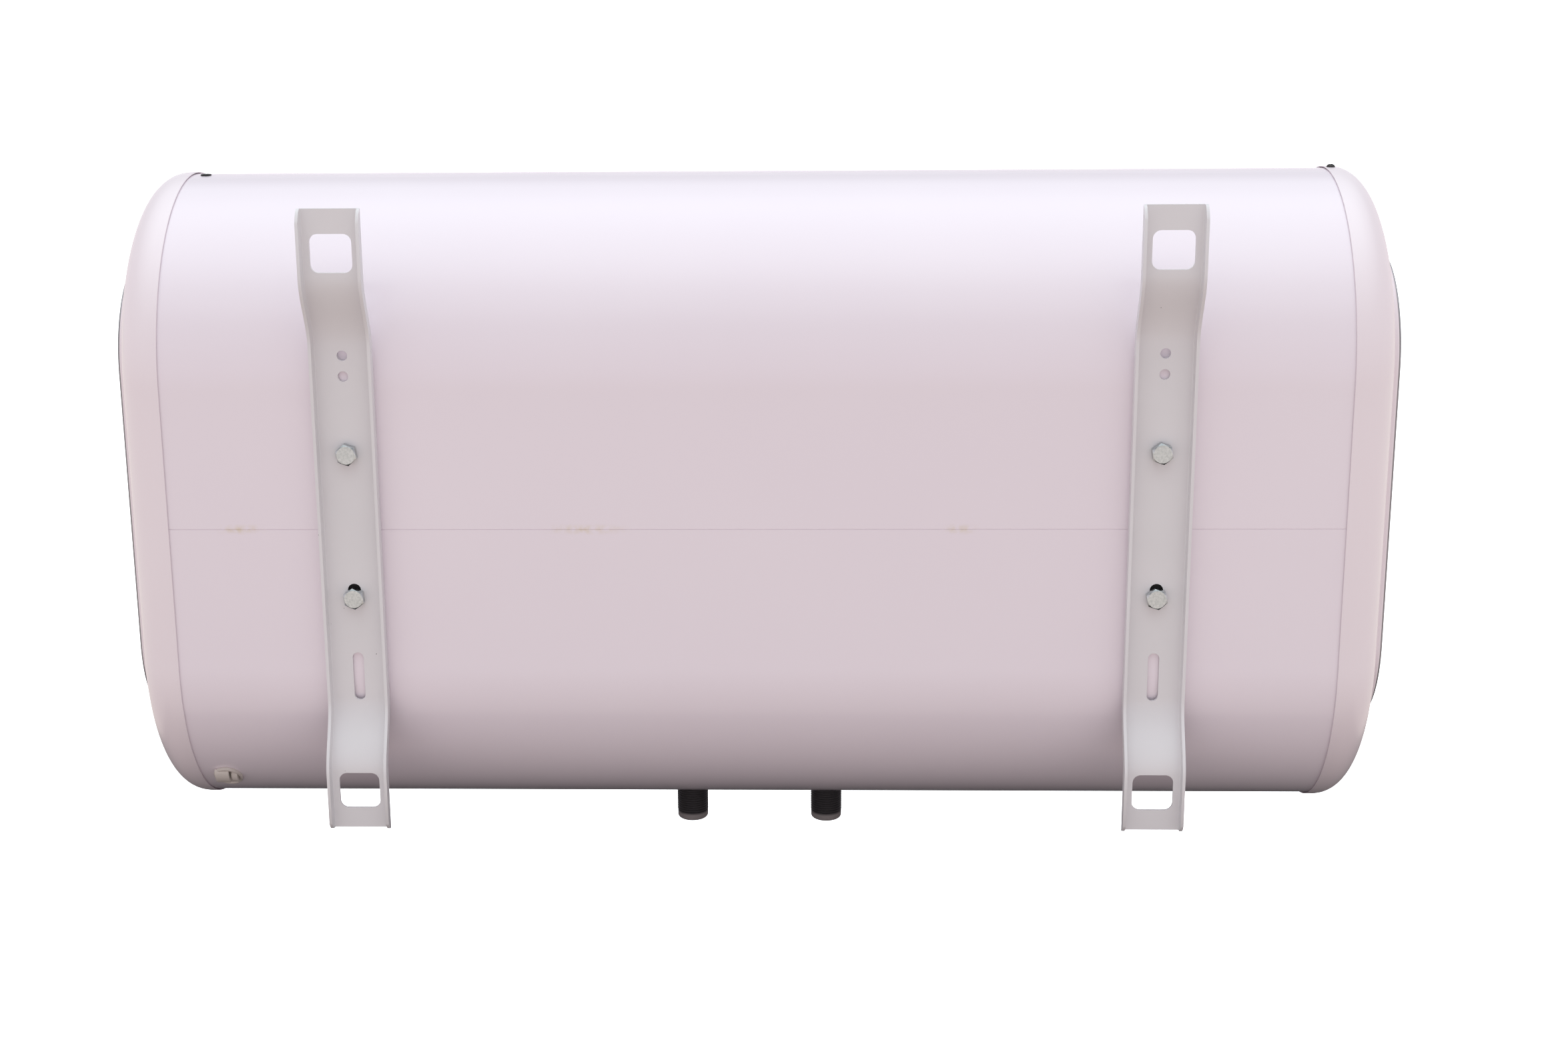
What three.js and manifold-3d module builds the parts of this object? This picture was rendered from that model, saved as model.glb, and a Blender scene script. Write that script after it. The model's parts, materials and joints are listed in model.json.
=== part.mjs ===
// Horizontal wall-hung storage water heater of the flat kind, in millimetres, +Z up.
// The origin is on the wall plane, midway between the two hanging brackets and at the
// casing's mid-height. +X is the electrical end, called right, because it is on the right of
// a user, who stands on the -Y side. +Y points into the wall.

import * as THREE from "three";
import { mergeVertices } from "three/addons/utils/BufferGeometryUtils.js";
import Module from "manifold-3d";

const wasm = await Module();
wasm.setup();

// ---------------------------------------------------------------- driving dimensions

const CLEARANCE = 0.3; // between any two pieces that touch

const CASING_LENGTH = 790; // casing seen between the two end caps
const BODY_HEIGHT = 452;
const BODY_DEPTH = 256;
const CASING_SHEET = 0.8;
const CAP_TUCK = 8; // casing hidden under each cap's skirt

const CAP_LIP = 1.3; // how far a cap's skirt stands proud of the casing
const CAP_BAND = 3; // straight part of the cap next to the seam
const CAP_REACH = 38.5; // from the seam to the cap's flat end
const CAP_ROUNDING = 67; // depth of the rounding, measured in from the skirt
const CAP_SQUARENESS = 2.48; // exponent of the rounding's superellipse
const CAP_FLAT_INSET = 55.6; // where the flat end starts
const CAP_WALL = 2.2;
const PANEL_THICKNESS = 3;
const TRIM_THICKNESS = 1.4;
const TRIM_INSET = 3.2;

const BRACKET_SPACING = 541;
const BRACKET_WIDTH = 41;
const BRACKET_SHEET = 2;
const BRACKET_DEPTH = 11; // outside depth of the channel
const BRACKET_TOP = 221;
const BRACKET_BOTTOM = -205;
const BRACKET_STEP = 18; // how far both ends stand nearer the wall than the middle

const BOLT_HEIGHTS = [55, -45];
const BOLT_RADIUS = 4; // M8
const BOLT_HEAD_ACROSS_FLATS = 13;
const BOLT_HEAD_HEIGHT = 5.3;

const TANK_RADIUS = 102;
const TANK_WALL = 1.8;
const TANK_HEIGHT_OFF_CENTRE = 108; // one tank this far above the middle, one this far below
const TANK_BLIND_END = -388;
const TANK_NECK_END = 372;
const TANK_DOME = 28;

const PIPE_SPACING = 100;
const NIPPLE_RADIUS = 10.5; // G 1/2
const NIPPLE_BORE = 7.5;
const NIPPLE_REACH = 28; // below the casing

// ---------------------------------------------------------------- derived sizes

const RADIUS = BODY_DEPTH / 2;
const FLAT_HALF = (BODY_HEIGHT - BODY_DEPTH) / 2;
const BACK_Y = -(BRACKET_DEPTH + BRACKET_STEP + CLEARANCE);
const AXIS_Y = BACK_Y - RADIUS;
const SEAM = CASING_LENGTH / 2;
const CAP_RADIUS = RADIUS + CAP_LIP;
const BRACKET_X = BRACKET_SPACING / 2;
const CASING_BOTTOM = -BODY_HEIGHT / 2;
const HALF_TURN = Math.PI;
const RIGHT_ANGLE = Math.PI / 2;
const SMALL_SIDES = 12; // facets round a small piece
const TANK_SIDES = 20;
const OVAL_SIDES = 32;

// ---------------------------------------------------------------- finishes

const finish = (color, roughness, metalness = 0) =>
  new THREE.MeshStandardMaterial({ color, roughness, metalness });

const whiteEnamelPaint = finish(0xf3eef3, 0.22);
const whitePlastic = finish(0xf1ebef, 0.35);
const greyTrim = finish(0xa9a6a8, 0.3);
const greyPowderCoat = finish(0xc3bfc0, 0.5);
const brightZinc = finish(0xd6d9da, 0.25, 1);
const blackPlastic = finish(0x232122, 0.55);
const blackRubber = finish(0x151515, 0.8);
const warmGreyPlastic = finish(0xbdb5b0, 0.45);
const foam = finish(0xe6d9a8, 0.95);
const enamelledSteel = finish(0x2f4a63, 0.4);
const plainSteel = finish(0x9a9da0, 0.4, 1);
const sheathedCopper = finish(0xb8765a, 0.35, 1);
const magnesium = finish(0xb4b6b4, 0.6, 1);
const boardGreen = finish(0x2f6b46, 0.5);
const darkGlass = finish(0x101216, 0.08);

// ---------------------------------------------------------------- solids

// A closed solid for joining and cutting, made from any closed geometry.
function solid(geometry) {
  const bare = geometry.clone();
  bare.deleteAttribute("normal");
  bare.deleteAttribute("uv");
  const merged = mergeVertices(bare, 1e-4);
  return new wasm.Manifold(
    new wasm.Mesh({
      numProp: 3,
      vertProperties: merged.attributes.position.array,
      triVerts: new Uint32Array(merged.index.array),
    }),
  );
}

// The three.js geometry of a finished solid.
function surface(made) {
  const mesh = made.getMesh();
  const geometry = new THREE.BufferGeometry();
  geometry.setAttribute("position", new THREE.BufferAttribute(mesh.vertProperties, 3));
  geometry.setIndex(new THREE.BufferAttribute(mesh.triVerts, 1));
  geometry.computeVertexNormals();
  return geometry;
}

const cut = (body, ...tools) =>
  surface(tools.reduce((left, tool) => left.subtract(solid(tool)), solid(body)));
const join = (...bodies) => surface(bodies.map(solid).reduce((a, b) => a.add(b)));

const box = (sizeX, sizeY, sizeZ, x = 0, y = 0, z = 0) =>
  new THREE.BoxGeometry(sizeX, sizeY, sizeZ).translate(x, y, z);

// Cylinders and rods along one axis, given by where they start and end on it.
function rodX(radius, from, to, sides = SMALL_SIDES) {
  return new THREE.CylinderGeometry(radius, radius, to - from, sides)
    .rotateZ(-RIGHT_ANGLE)
    .translate((from + to) / 2, 0, 0);
}
function rodY(radius, from, to, sides = SMALL_SIDES) {
  return new THREE.CylinderGeometry(radius, radius, to - from, sides).translate(0, (from + to) / 2, 0);
}
function rodZ(radius, from, to, sides = SMALL_SIDES) {
  return new THREE.CylinderGeometry(radius, radius, to - from, sides)
    .rotateX(RIGHT_ANGLE)
    .translate(0, 0, (from + to) / 2);
}

const points = (list) => list.map(([r, along]) => new THREE.Vector2(r, along));

// Turned pieces: the profile is a list of [radius, place along the axis].
const turnedY = (profile, sides = SMALL_SIDES) => new THREE.LatheGeometry(points(profile), sides);
const turnedZ = (profile, sides = SMALL_SIDES) => turnedY(profile, sides).rotateX(RIGHT_ANGLE);
const turnedX = (profile, sides = SMALL_SIDES) => turnedY(profile, sides).rotateZ(-RIGHT_ANGLE);

// A piece with the heater's flat oval section: a turned piece along X whose upper
// half is lifted and whose lower half is lowered by the same amount. The middle of each
// facet, not its edge, is on the stated radius, so the flat front and back are too.
function oval(profile, sides = OVAL_SIDES) {
  const step = (2 * HALF_TURN) / sides;
  const outward = 1 / Math.cos(step / 2);
  const turned = new THREE.LatheGeometry(points(profile), sides, step / 2);
  const place = turned.attributes.position;
  for (let i = 0; i < place.count; i++) {
    const around = Math.floor(i / profile.length) % sides;
    const lift = around < sides / 2 ? FLAT_HALF : -FLAT_HALF;
    place.setXYZ(i, place.getY(i), place.getZ(i) * outward, place.getX(i) * outward + lift);
  }
  return turned;
}

function roundedRectangle(width, height, radius) {
  const [w, h] = [width / 2, height / 2];
  const shape = new THREE.Shape();
  shape.absarc(w - radius, h - radius, radius, 0, RIGHT_ANGLE);
  shape.absarc(radius - w, h - radius, radius, RIGHT_ANGLE, HALF_TURN);
  shape.absarc(radius - w, radius - h, radius, HALF_TURN, 3 * RIGHT_ANGLE);
  shape.absarc(w - radius, radius - h, radius, 3 * RIGHT_ANGLE, 4 * RIGHT_ANGLE);
  return shape;
}

// A plate in the X-Z plane that is `thickness` thick and starts at y = from.
function plateY(width, height, radius, from, thickness, x = 0, z = 0) {
  return new THREE.ExtrudeGeometry(roundedRectangle(width, height, radius), {
    depth: thickness,
    bevelEnabled: false,
    curveSegments: 4,
  })
    .rotateX(RIGHT_ANGLE)
    .translate(x, from + thickness, z);
}

// ---------------------------------------------------------------- the scene graph

const heater = new THREE.Group();
const body = new THREE.Group(); // its own frame is on the body's long axis
body.position.y = AXIS_Y;
const rear = new THREE.Group(); // its own frame is on the casing's flat back
rear.position.y = BACK_Y;
heater.add(body, rear);

function add(group, name, geometry, material, x = 0, y = 0, z = 0) {
  const mesh = new THREE.Mesh(geometry, material);
  mesh.name = name;
  mesh.position.set(x, y, z);
  group.add(mesh);
  return mesh;
}

// ---------------------------------------------------------------- casing and insulation

const GLAND_X = 376.6;
const GLAND_ANGLE = (46 * HALF_TURN) / 180; // down the lower rear curve, from level
const GLAND_HOLE = 8.5; // across the casing; the hole is longer round its curve
const GLAND_STRETCH = 1.3;
const PLUG = { x: 385.6, y: 4, radius: 3.8, stem: 2.8 };
const PANEL_X = 215;
const PANEL_WIDTH = 200;
const PANEL_HEIGHT = 64;
const PANEL_OPENING_MARGIN = 7;
const PANEL_OPENING_CORNER = 10;
const FOAM_ENDS = [-394, 366];
const SCREW_RADIUS = 1.6;
const SCREW_SETBACK = 4; // outward of the seam
const BOLT_HOLE = 6; // in the casing, wider than the bolt
const THROUGH = 5; // how far a hole's cutter reaches past each side of a sheet

const pipeX = { hot: -PIPE_SPACING / 2, cold: PIPE_SPACING / 2 };
const PIPE_HOLE = 14;

// Moves a round piece made standing on z = 0 at the origin out to the gland's place, square
// to the casing, and stretches it round the casing's curve.
const toGland = (geometry) =>
  geometry
    .scale(1, GLAND_STRETCH, 1)
    .rotateX(-RIGHT_ANGLE - GLAND_ANGLE)
    .translate(
      GLAND_X,
      RADIUS * Math.cos(GLAND_ANGLE),
      -FLAT_HALF - RADIUS * Math.sin(GLAND_ANGLE),
    );

const throughZ = (radius, z) => rodZ(radius, z - THROUGH, z + THROUGH);

function outerCasing() {
  const end = SEAM + CAP_TUCK;
  const inner = RADIUS - CASING_SHEET;
  const shell = oval([
    [inner, -end],
    [RADIUS, -end],
    [RADIUS, end],
    [inner, end],
    [inner, -end],
  ]);
  const holes = [];
  for (const x of Object.values(pipeX))
    holes.push(throughZ(PIPE_HOLE, CASING_BOTTOM).translate(x, 0, 0));
  for (const x of [-BRACKET_X, BRACKET_X])
    for (const z of BOLT_HEIGHTS)
      holes.push(rodY(BOLT_HOLE, RADIUS - THROUGH, RADIUS + THROUGH).translate(x, 0, z));
  holes.push(toGland(throughZ(GLAND_HOLE, 0)));
  holes.push(throughZ(PLUG.stem, BODY_HEIGHT / 2).translate(PLUG.x, PLUG.y, 0));
  for (const [x, up] of capScrews) holes.push(screwHole(x, up));
  holes.push(
    plateY(
      PANEL_WIDTH - 2 * PANEL_OPENING_MARGIN,
      PANEL_HEIGHT - 2 * PANEL_OPENING_MARGIN,
      PANEL_OPENING_CORNER,
      -RADIUS - THROUGH,
      2 * THROUGH,
      PANEL_X,
    ),
  );
  return cut(shell, ...holes);
}

const capScrews = [
  [-SEAM - SCREW_SETBACK, 1],
  [-SEAM - SCREW_SETBACK, -1],
  [SEAM + SCREW_SETBACK, -1],
];
const screwHole = (x, up) =>
  rodZ(SCREW_RADIUS + CLEARANCE, BODY_HEIGHT / 2 - 20, BODY_HEIGHT / 2 + 20)
    .scale(1, up, up)
    .translate(x, 0, 0);

// ---------------------------------------------------------------- tanks

const tankInner = TANK_RADIUS - TANK_WALL;
const NECK_OUTER = 54;
const NECK_INNER = 38;
const FLANGE_BOLT_CIRCLE = 46;
const FLANGE_BOLTS = 3;
const NECK_LENGTH = 10;
const FLANGE_BOLT_HOLE = 3.3;
const CROSSOVER = { x: 250, radius: 11, bore: 9, half: 12 };
const SLEEVE = { radius: 16, bore: 13.5 };

// Quarter of an ellipse, from the wall to where the radius has shrunk to `endRadius`.
function dome(radius, depth, endRadius, steps = 3) {
  const last = Math.acos(endRadius / radius);
  return Array.from({ length: steps + 1 }, (_, i) => {
    const angle = (last * i) / steps;
    return [radius * Math.cos(angle), depth * Math.sin(angle)];
  });
}

function tankShape(grown) {
  const wall = TANK_RADIUS + grown;
  const straight = [TANK_BLIND_END + TANK_DOME, TANK_NECK_END - NECK_LENGTH - TANK_DOME];
  const blind = dome(wall, TANK_DOME + grown, 0).map(([r, d]) => [r, straight[0] - d]);
  const open = dome(wall, TANK_DOME + grown, NECK_OUTER + grown).map(([r, d]) => [
    r,
    straight[1] + d,
  ]);
  return { blind: blind.reverse(), open, straight };
}

function tank(holes) {
  const { blind, open, straight } = tankShape(0);
  const depth = TANK_DOME - TANK_WALL;
  const insideOpen = dome(tankInner, depth, NECK_INNER).map(([r, d]) => [r, straight[1] + d]);
  const insideBlind = dome(tankInner, depth, 0).map(([r, d]) => [r, straight[0] - d]);
  const shell = turnedX(
    [
      ...blind,
      ...open,
      [NECK_OUTER, TANK_NECK_END],
      [NECK_INNER, TANK_NECK_END],
      ...insideOpen.reverse(),
      ...insideBlind,
    ],
    TANK_SIDES,
  );
  return cut(shell, ...flangeBoltHoles(TANK_NECK_END - 8, TANK_NECK_END + 2), ...holes);
}

// The space that a tank takes up in the foam, with its neck run out past the foam's end.
function tankRoom() {
  const { blind, open } = tankShape(CLEARANCE);
  return turnedX([...blind, ...open, [NECK_OUTER + CLEARANCE, 400], [0, 400]], TANK_SIDES);
}

const onFlangeCircle = (geometry, i) => {
  const angle = RIGHT_ANGLE + (2 * HALF_TURN * i) / FLANGE_BOLTS;
  return geometry.translate(
    0,
    FLANGE_BOLT_CIRCLE * Math.cos(angle),
    FLANGE_BOLT_CIRCLE * Math.sin(angle),
  );
};
const flangeBoltHoles = (from, to) =>
  Array.from({ length: FLANGE_BOLTS }, (_, i) => onFlangeCircle(rodX(FLANGE_BOLT_HOLE, from, to), i));

const tanks = { upper: TANK_HEIGHT_OFF_CENTRE, lower: -TANK_HEIGHT_OFF_CENTRE };
const towardsOther = { upper: -1, lower: 1 };

for (const [which, height] of Object.entries(tanks)) {
  const side = towardsOther[which];
  const wallHole = (radius, towards, x) =>
    rodZ(radius + CLEARANCE, TANK_RADIUS - 20, TANK_RADIUS + 20)
      .scale(1, towards, towards)
      .translate(x, 0, 0);
  const holes = [
    wallHole(SLEEVE.radius, side, pipeX.hot),
    wallHole(CROSSOVER.radius, side, CROSSOVER.x),
  ];
  if (which === "lower")
    for (const x of Object.values(pipeX)) holes.push(wallHole(NIPPLE_RADIUS, -1, x));
  add(body, `${which}_tank`, tank(holes), enamelledSteel, 0, 0, height);
}

// Short tubes that join the tanks. The hot water pipe goes up through the wider one.
const tube = (outer, inner, from, to, sides = SMALL_SIDES) =>
  turnedZ(
    [
      [inner, from],
      [outer, from],
      [outer, to],
      [inner, to],
      [inner, from],
    ],
    sides,
  );
const crossover = (radius, bore) => tube(radius, bore, -CROSSOVER.half, CROSSOVER.half);
add(body, "crossover_sleeve", crossover(SLEEVE.radius, SLEEVE.bore), plainSteel, pipeX.hot);
add(body, "crossover_pipe", crossover(CROSSOVER.radius, CROSSOVER.bore), plainSteel, CROSSOVER.x);

// ---------------------------------------------------------------- pipes

const nippleEnd = CASING_BOTTOM - NIPPLE_REACH;
const nippleTop = -200;
const HOT_PIPE_RADIUS = NIPPLE_BORE - CLEARANCE;
const PROTECTOR_RADIUS = 11.5;
const PROTECTOR_FLOOR = 2.2;
const protectorTop = CASING_BOTTOM - 4;
const SEAL = { flange: PIPE_HOLE + 1.5, stem: PIPE_HOLE - CLEARANCE, bottom: 2.6, step: 0.7, top: 3 };

for (const [which, x] of Object.entries(pipeX)) {
  const name = which === "hot" ? "hot_outlet" : "cold_inlet";
  const inside = NIPPLE_RADIUS + CLEARANCE;
  const nipple = tube(NIPPLE_RADIUS, NIPPLE_BORE, nippleEnd, nippleTop);
  add(body, `${name}_nipple`, nipple, plainSteel, x);
  add(
    body,
    `${name}_seal`,
    turnedZ([
      [inside, CASING_BOTTOM - SEAL.bottom],
      [SEAL.flange, CASING_BOTTOM - SEAL.bottom],
      [SEAL.flange, CASING_BOTTOM - SEAL.step],
      [SEAL.stem, CASING_BOTTOM - SEAL.step],
      [SEAL.stem, CASING_BOTTOM + SEAL.top],
      [inside, CASING_BOTTOM + SEAL.top],
      [inside, CASING_BOTTOM - SEAL.bottom],
    ]),
    blackRubber,
    x,
  );
  const floorTop = nippleEnd - CLEARANCE;
  const floor = floorTop - PROTECTOR_FLOOR;
  add(
    body,
    `${name}_thread_protector`,
    turnedZ([
      [0, floor],
      [PROTECTOR_RADIUS - 2, floor],
      [PROTECTOR_RADIUS, floor + 2],
      [PROTECTOR_RADIUS, protectorTop],
      [inside, protectorTop],
      [inside, floorTop],
      [0, floorTop],
    ]),
    blackPlastic,
    x,
  );
}

add(body, "hot_water_pipe", tube(HOT_PIPE_RADIUS, 6, -215, 196), plainSteel, pipeX.hot);

// A plastic cap on the cold nipple's inner end, which sends the cold water out sideways along
// the tank's floor.
function inletDiffuser() {
  const inside = NIPPLE_RADIUS + CLEARANCE;
  const cup = turnedZ([
    [inside, nippleTop - 3],
    [inside + 2, nippleTop - 3],
    [inside + 2, nippleTop + 14],
    [0, nippleTop + 14],
    [0, nippleTop + 12],
    [inside, nippleTop + 12],
    [inside, nippleTop - 3],
  ]);
  return cut(cup, box(40, 8, 7, 0, 0, nippleTop + 6));
}
add(body, "inlet_diffuser", inletDiffuser(), whitePlastic, pipeX.cold);

// ---------------------------------------------------------------- heating parts at the neck of each tank

const GASKET = 2;
const FLANGE = 5;
const gasketFrom = TANK_NECK_END + CLEARANCE;
const flangeFrom = gasketFrom + GASKET + CLEARANCE;
const flangeEnd = flangeFrom + FLANGE;
const ELEMENT_RADIUS = 4.3;
const ELEMENT_LEG = 18; // each leg this far from the flange's centre
const ELEMENT_LENGTH = 250;
const WELL_RADIUS = 3.6;
const WELL_SIDE = 22;
const WELL_LENGTH = 210;
const ANODE_SIDE = -24;
const ANODE_RADIUS = 10.5;
const ANODE_LENGTH = 240;
const ANODE_STUD = 4;

const ring = (outer, inner, from, to) =>
  turnedX(
    [
      [inner, from],
      [outer, from],
      [outer, to],
      [inner, to],
      [inner, from],
    ],
    TANK_SIDES,
  );

function heatingElement() {
  const terminal = flangeEnd + 14;
  const straightEnd = flangeFrom - ELEMENT_LENGTH;
  const path = new THREE.CurvePath();
  const corner = new THREE.Vector3(straightEnd - 1.3 * ELEMENT_LEG, 0, 0);
  path.add(
    new THREE.LineCurve3(
      new THREE.Vector3(terminal, 0, ELEMENT_LEG),
      new THREE.Vector3(straightEnd, 0, ELEMENT_LEG),
    ),
  );
  path.add(
    new THREE.CubicBezierCurve3(
      new THREE.Vector3(straightEnd, 0, ELEMENT_LEG),
      new THREE.Vector3(corner.x, 0, ELEMENT_LEG),
      new THREE.Vector3(corner.x, 0, -ELEMENT_LEG),
      new THREE.Vector3(straightEnd, 0, -ELEMENT_LEG),
    ),
  );
  path.add(
    new THREE.LineCurve3(
      new THREE.Vector3(straightEnd, 0, -ELEMENT_LEG),
      new THREE.Vector3(terminal, 0, -ELEMENT_LEG),
    ),
  );
  const section = new THREE.Shape().absarc(0, 0, ELEMENT_RADIUS, 0, 2 * HALF_TURN);
  return new THREE.ExtrudeGeometry(section, { extrudePath: path, steps: 16, curveSegments: 4 });
}

const passage = (radius, y, z, from, to) => rodX(radius + CLEARANCE, from, to).translate(0, y, z);

function flangePlate(withAnode) {
  const [from, to] = [flangeFrom - 1, flangeEnd + 1];
  const holes = [
    ...flangeBoltHoles(from, to),
    passage(ELEMENT_RADIUS + 0.2, 0, ELEMENT_LEG, from, to),
    passage(ELEMENT_RADIUS + 0.2, 0, -ELEMENT_LEG, from, to),
    passage(WELL_RADIUS, WELL_SIDE, 0, from, to),
  ];
  if (withAnode) holes.push(passage(ANODE_STUD, ANODE_SIDE, 0, from, to));
  return cut(rodX(NECK_OUTER, flangeFrom, flangeEnd, TANK_SIDES), ...holes);
}

// A tube closed at its inner end, which the thermostat's probe slides into.
const thermowell = () =>
  turnedX(
    [
      [0, flangeFrom - WELL_LENGTH],
      [WELL_RADIUS, flangeFrom - WELL_LENGTH],
      [WELL_RADIUS, flangeEnd + 3],
      [WELL_RADIUS - 1, flangeEnd + 3],
      [WELL_RADIUS - 1, flangeFrom - WELL_LENGTH + 1],
      [0, flangeFrom - WELL_LENGTH + 1],
    ],
  );

const anodeRod = () =>
  turnedX(
    [
      [0, flangeFrom - ANODE_LENGTH],
      [ANODE_RADIUS, flangeFrom - ANODE_LENGTH],
      [ANODE_RADIUS, flangeFrom - 20],
      [ANODE_STUD, flangeFrom - 20],
      [ANODE_STUD, flangeEnd + 6],
      [0, flangeEnd + 6],
    ],
  );

const hexagonX = (acrossFlats, from, to) => rodX(acrossFlats / Math.sqrt(3), from, to, 6);
const flangeBolt = () =>
  join(
    rodX(3, TANK_NECK_END - 7, flangeEnd + 1),
    hexagonX(10, flangeEnd + CLEARANCE, flangeEnd + CLEARANCE + 4),
  );

for (const [which, height] of Object.entries(tanks)) {
  const assembly = new THREE.Group();
  assembly.position.z = height;
  body.add(assembly);
  const lower = which === "lower";
  const gasket = cut(
    ring(NECK_OUTER - 1, NECK_INNER + 1, gasketFrom, gasketFrom + GASKET),
    ...flangeBoltHoles(gasketFrom - 1, gasketFrom + GASKET + 1),
  );
  add(assembly, `${which}_flange_gasket`, gasket, blackRubber);
  add(assembly, `${which}_flange`, flangePlate(lower), plainSteel);
  add(assembly, `${which}_heating_element`, heatingElement(), sheathedCopper);
  add(assembly, `${which}_thermowell`, thermowell(), plainSteel, 0, WELL_SIDE);
  if (lower) add(assembly, "anode_rod", anodeRod(), magnesium, 0, ANODE_SIDE);
  for (let i = 0; i < FLANGE_BOLTS; i++)
    add(assembly, `${which}_flange_bolt_${i + 1}`, onFlangeCircle(flangeBolt(), i), brightZinc);
}

// ---------------------------------------------------------------- straps that carry the tanks

const STRAP_WIDTH = 50;
const STRAP_SHEET = 4;
const STRAP_HEIGHT = 330;
const BOSS_RADIUS = 10;
const strapFrom = TANK_RADIUS + CLEARANCE;
const bossEnd = RADIUS - CASING_SHEET - CLEARANCE;
const boltBore = BOLT_RADIUS + CLEARANCE;

function tankStrap() {
  const strap = box(STRAP_WIDTH, STRAP_SHEET, STRAP_HEIGHT, 0, strapFrom + STRAP_SHEET / 2, 0);
  const bosses = BOLT_HEIGHTS.map((z) => rodY(BOSS_RADIUS, strapFrom + 1, bossEnd).translate(0, 0, z));
  const bores = BOLT_HEIGHTS.map((z) => rodY(boltBore, strapFrom - 2, bossEnd + 2).translate(0, 0, z));
  return cut(join(strap, ...bosses), ...bores);
}

// The strap's room in the foam, open all the way out to the casing.
const strapRoom = (x) =>
  box(
    STRAP_WIDTH + 2 * CLEARANCE,
    RADIUS - strapFrom + 2,
    STRAP_HEIGHT + 2 * CLEARANCE,
    x,
    (RADIUS + strapFrom) / 2 + 1 - CLEARANCE,
    0,
  );

const ends = { right: 1, left: -1 };
for (const [which, side] of Object.entries(ends))
  add(body, `tank_strap_${which}`, tankStrap(), plainSteel, side * BRACKET_X);

function foamInsulation() {
  const r = RADIUS - CASING_SHEET - CLEARANCE;
  const block = oval([
    [0, FOAM_ENDS[0]],
    [r, FOAM_ENDS[0]],
    [r, FOAM_ENDS[1]],
    [0, FOAM_ENDS[1]],
  ]);
  const rooms = [];
  for (const height of Object.values(tanks)) rooms.push(tankRoom().translate(0, 0, height));
  for (const x of [-BRACKET_X, BRACKET_X]) rooms.push(strapRoom(x));
  for (const x of Object.values(pipeX)) rooms.push(rodZ(PIPE_HOLE, -240, -190).translate(x, 0, 0));
  rooms.push(rodZ(SLEEVE.radius + CLEARANCE, -20, 20).translate(pipeX.hot, 0, 0));
  rooms.push(rodZ(CROSSOVER.radius + CLEARANCE, -20, 20).translate(CROSSOVER.x, 0, 0));
  rooms.push(box(PANEL_WIDTH - 8, 26, PANEL_HEIGHT - 8, PANEL_X, -RADIUS + 11, 0));
  return cut(block, ...rooms);
}
add(body, "foam_insulation", foamInsulation(), foam);
add(body, "outer_casing", outerCasing(), whiteEnamelPaint);

add(
  body,
  "foam_hole_plug",
  turnedZ(
    [
      [0, -6],
      [PLUG.stem - CLEARANCE, -6],
      [PLUG.stem - CLEARANCE, CLEARANCE],
      [PLUG.radius, CLEARANCE],
      [PLUG.radius - 1, 1.4],
      [0, 1.6],
    ],
  ),
  blackPlastic,
  PLUG.x,
  PLUG.y,
  BODY_HEIGHT / 2,
);

// ---------------------------------------------------------------- end caps, their raised panels and trims

const power = (value, exponent) => Math.sign(value) * Math.abs(value) ** exponent;

// Half of the cap's section from the seam to the flat end, as [radius, distance from the seam].
function capRounding(outer, reach, rounding, flatRadius, steps = 7) {
  const last = Math.acos((1 - (outer - flatRadius) / rounding) ** (CAP_SQUARENESS / 2));
  return Array.from({ length: steps + 1 }, (_, i) => {
    const angle = (last * i) / steps;
    return [
      outer - rounding * (1 - power(Math.cos(angle), 2 / CAP_SQUARENESS)),
      CAP_BAND + (reach - CAP_BAND) * power(Math.sin(angle), 2 / CAP_SQUARENESS),
    ];
  });
}

const flatRadius = CAP_RADIUS - CAP_FLAT_INSET;
const outsideRounding = capRounding(CAP_RADIUS, CAP_REACH, CAP_ROUNDING, flatRadius);
const capFlat = outsideRounding.at(-1)[1];

function endCap(side) {
  const skirtInside = RADIUS + CLEARANCE;
  const shelf = CAP_TUCK + CLEARANCE;
  const wallRadius = CAP_RADIUS - CAP_WALL;
  const inside = capRounding(wallRadius, CAP_REACH - CAP_WALL, CAP_ROUNDING, flatRadius - 1, 4)
    .filter(([, along]) => along > shelf + 0.5)
    .reverse();
  const cap = oval([
    [0, inside[0][1]],
    ...inside,
    [wallRadius, shelf],
    [skirtInside, shelf],
    [skirtInside, 0],
    [CAP_RADIUS, 0],
    ...outsideRounding,
    [0, capFlat],
  ]).translate(SEAM, 0, 0);
  const turned = side > 0 ? cap : cap.rotateZ(HALF_TURN);
  const holes = capScrews.filter(([x]) => x * side > 0).map(([x, up]) => screwHole(x, up));
  return cut(turned, ...holes);
}

// A flat oval plate that lies on what is inboard of it.
function ovalPlate(radius, from, thickness, edge) {
  return oval([
    [0, from],
    [radius, from],
    [radius, from + thickness - edge],
    [radius - edge, from + thickness],
    [0, from + thickness],
  ]);
}

const panelFrom = SEAM + capFlat + CLEARANCE;
const trimFrom = panelFrom + PANEL_THICKNESS + CLEARANCE;

for (const [which, side] of Object.entries(ends)) {
  const turn = side > 0 ? 0 : HALF_TURN;
  add(body, `end_cap_${which}`, endCap(side), whitePlastic);
  const panel = ovalPlate(flatRadius - CLEARANCE, panelFrom, PANEL_THICKNESS, 0.8);
  const trim = ovalPlate(flatRadius - TRIM_INSET, trimFrom, TRIM_THICKNESS, 0.5);
  add(body, `end_panel_${which}`, panel.rotateZ(turn), whitePlastic);
  add(body, `end_trim_${which}`, trim.rotateZ(turn), greyTrim);
}

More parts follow.
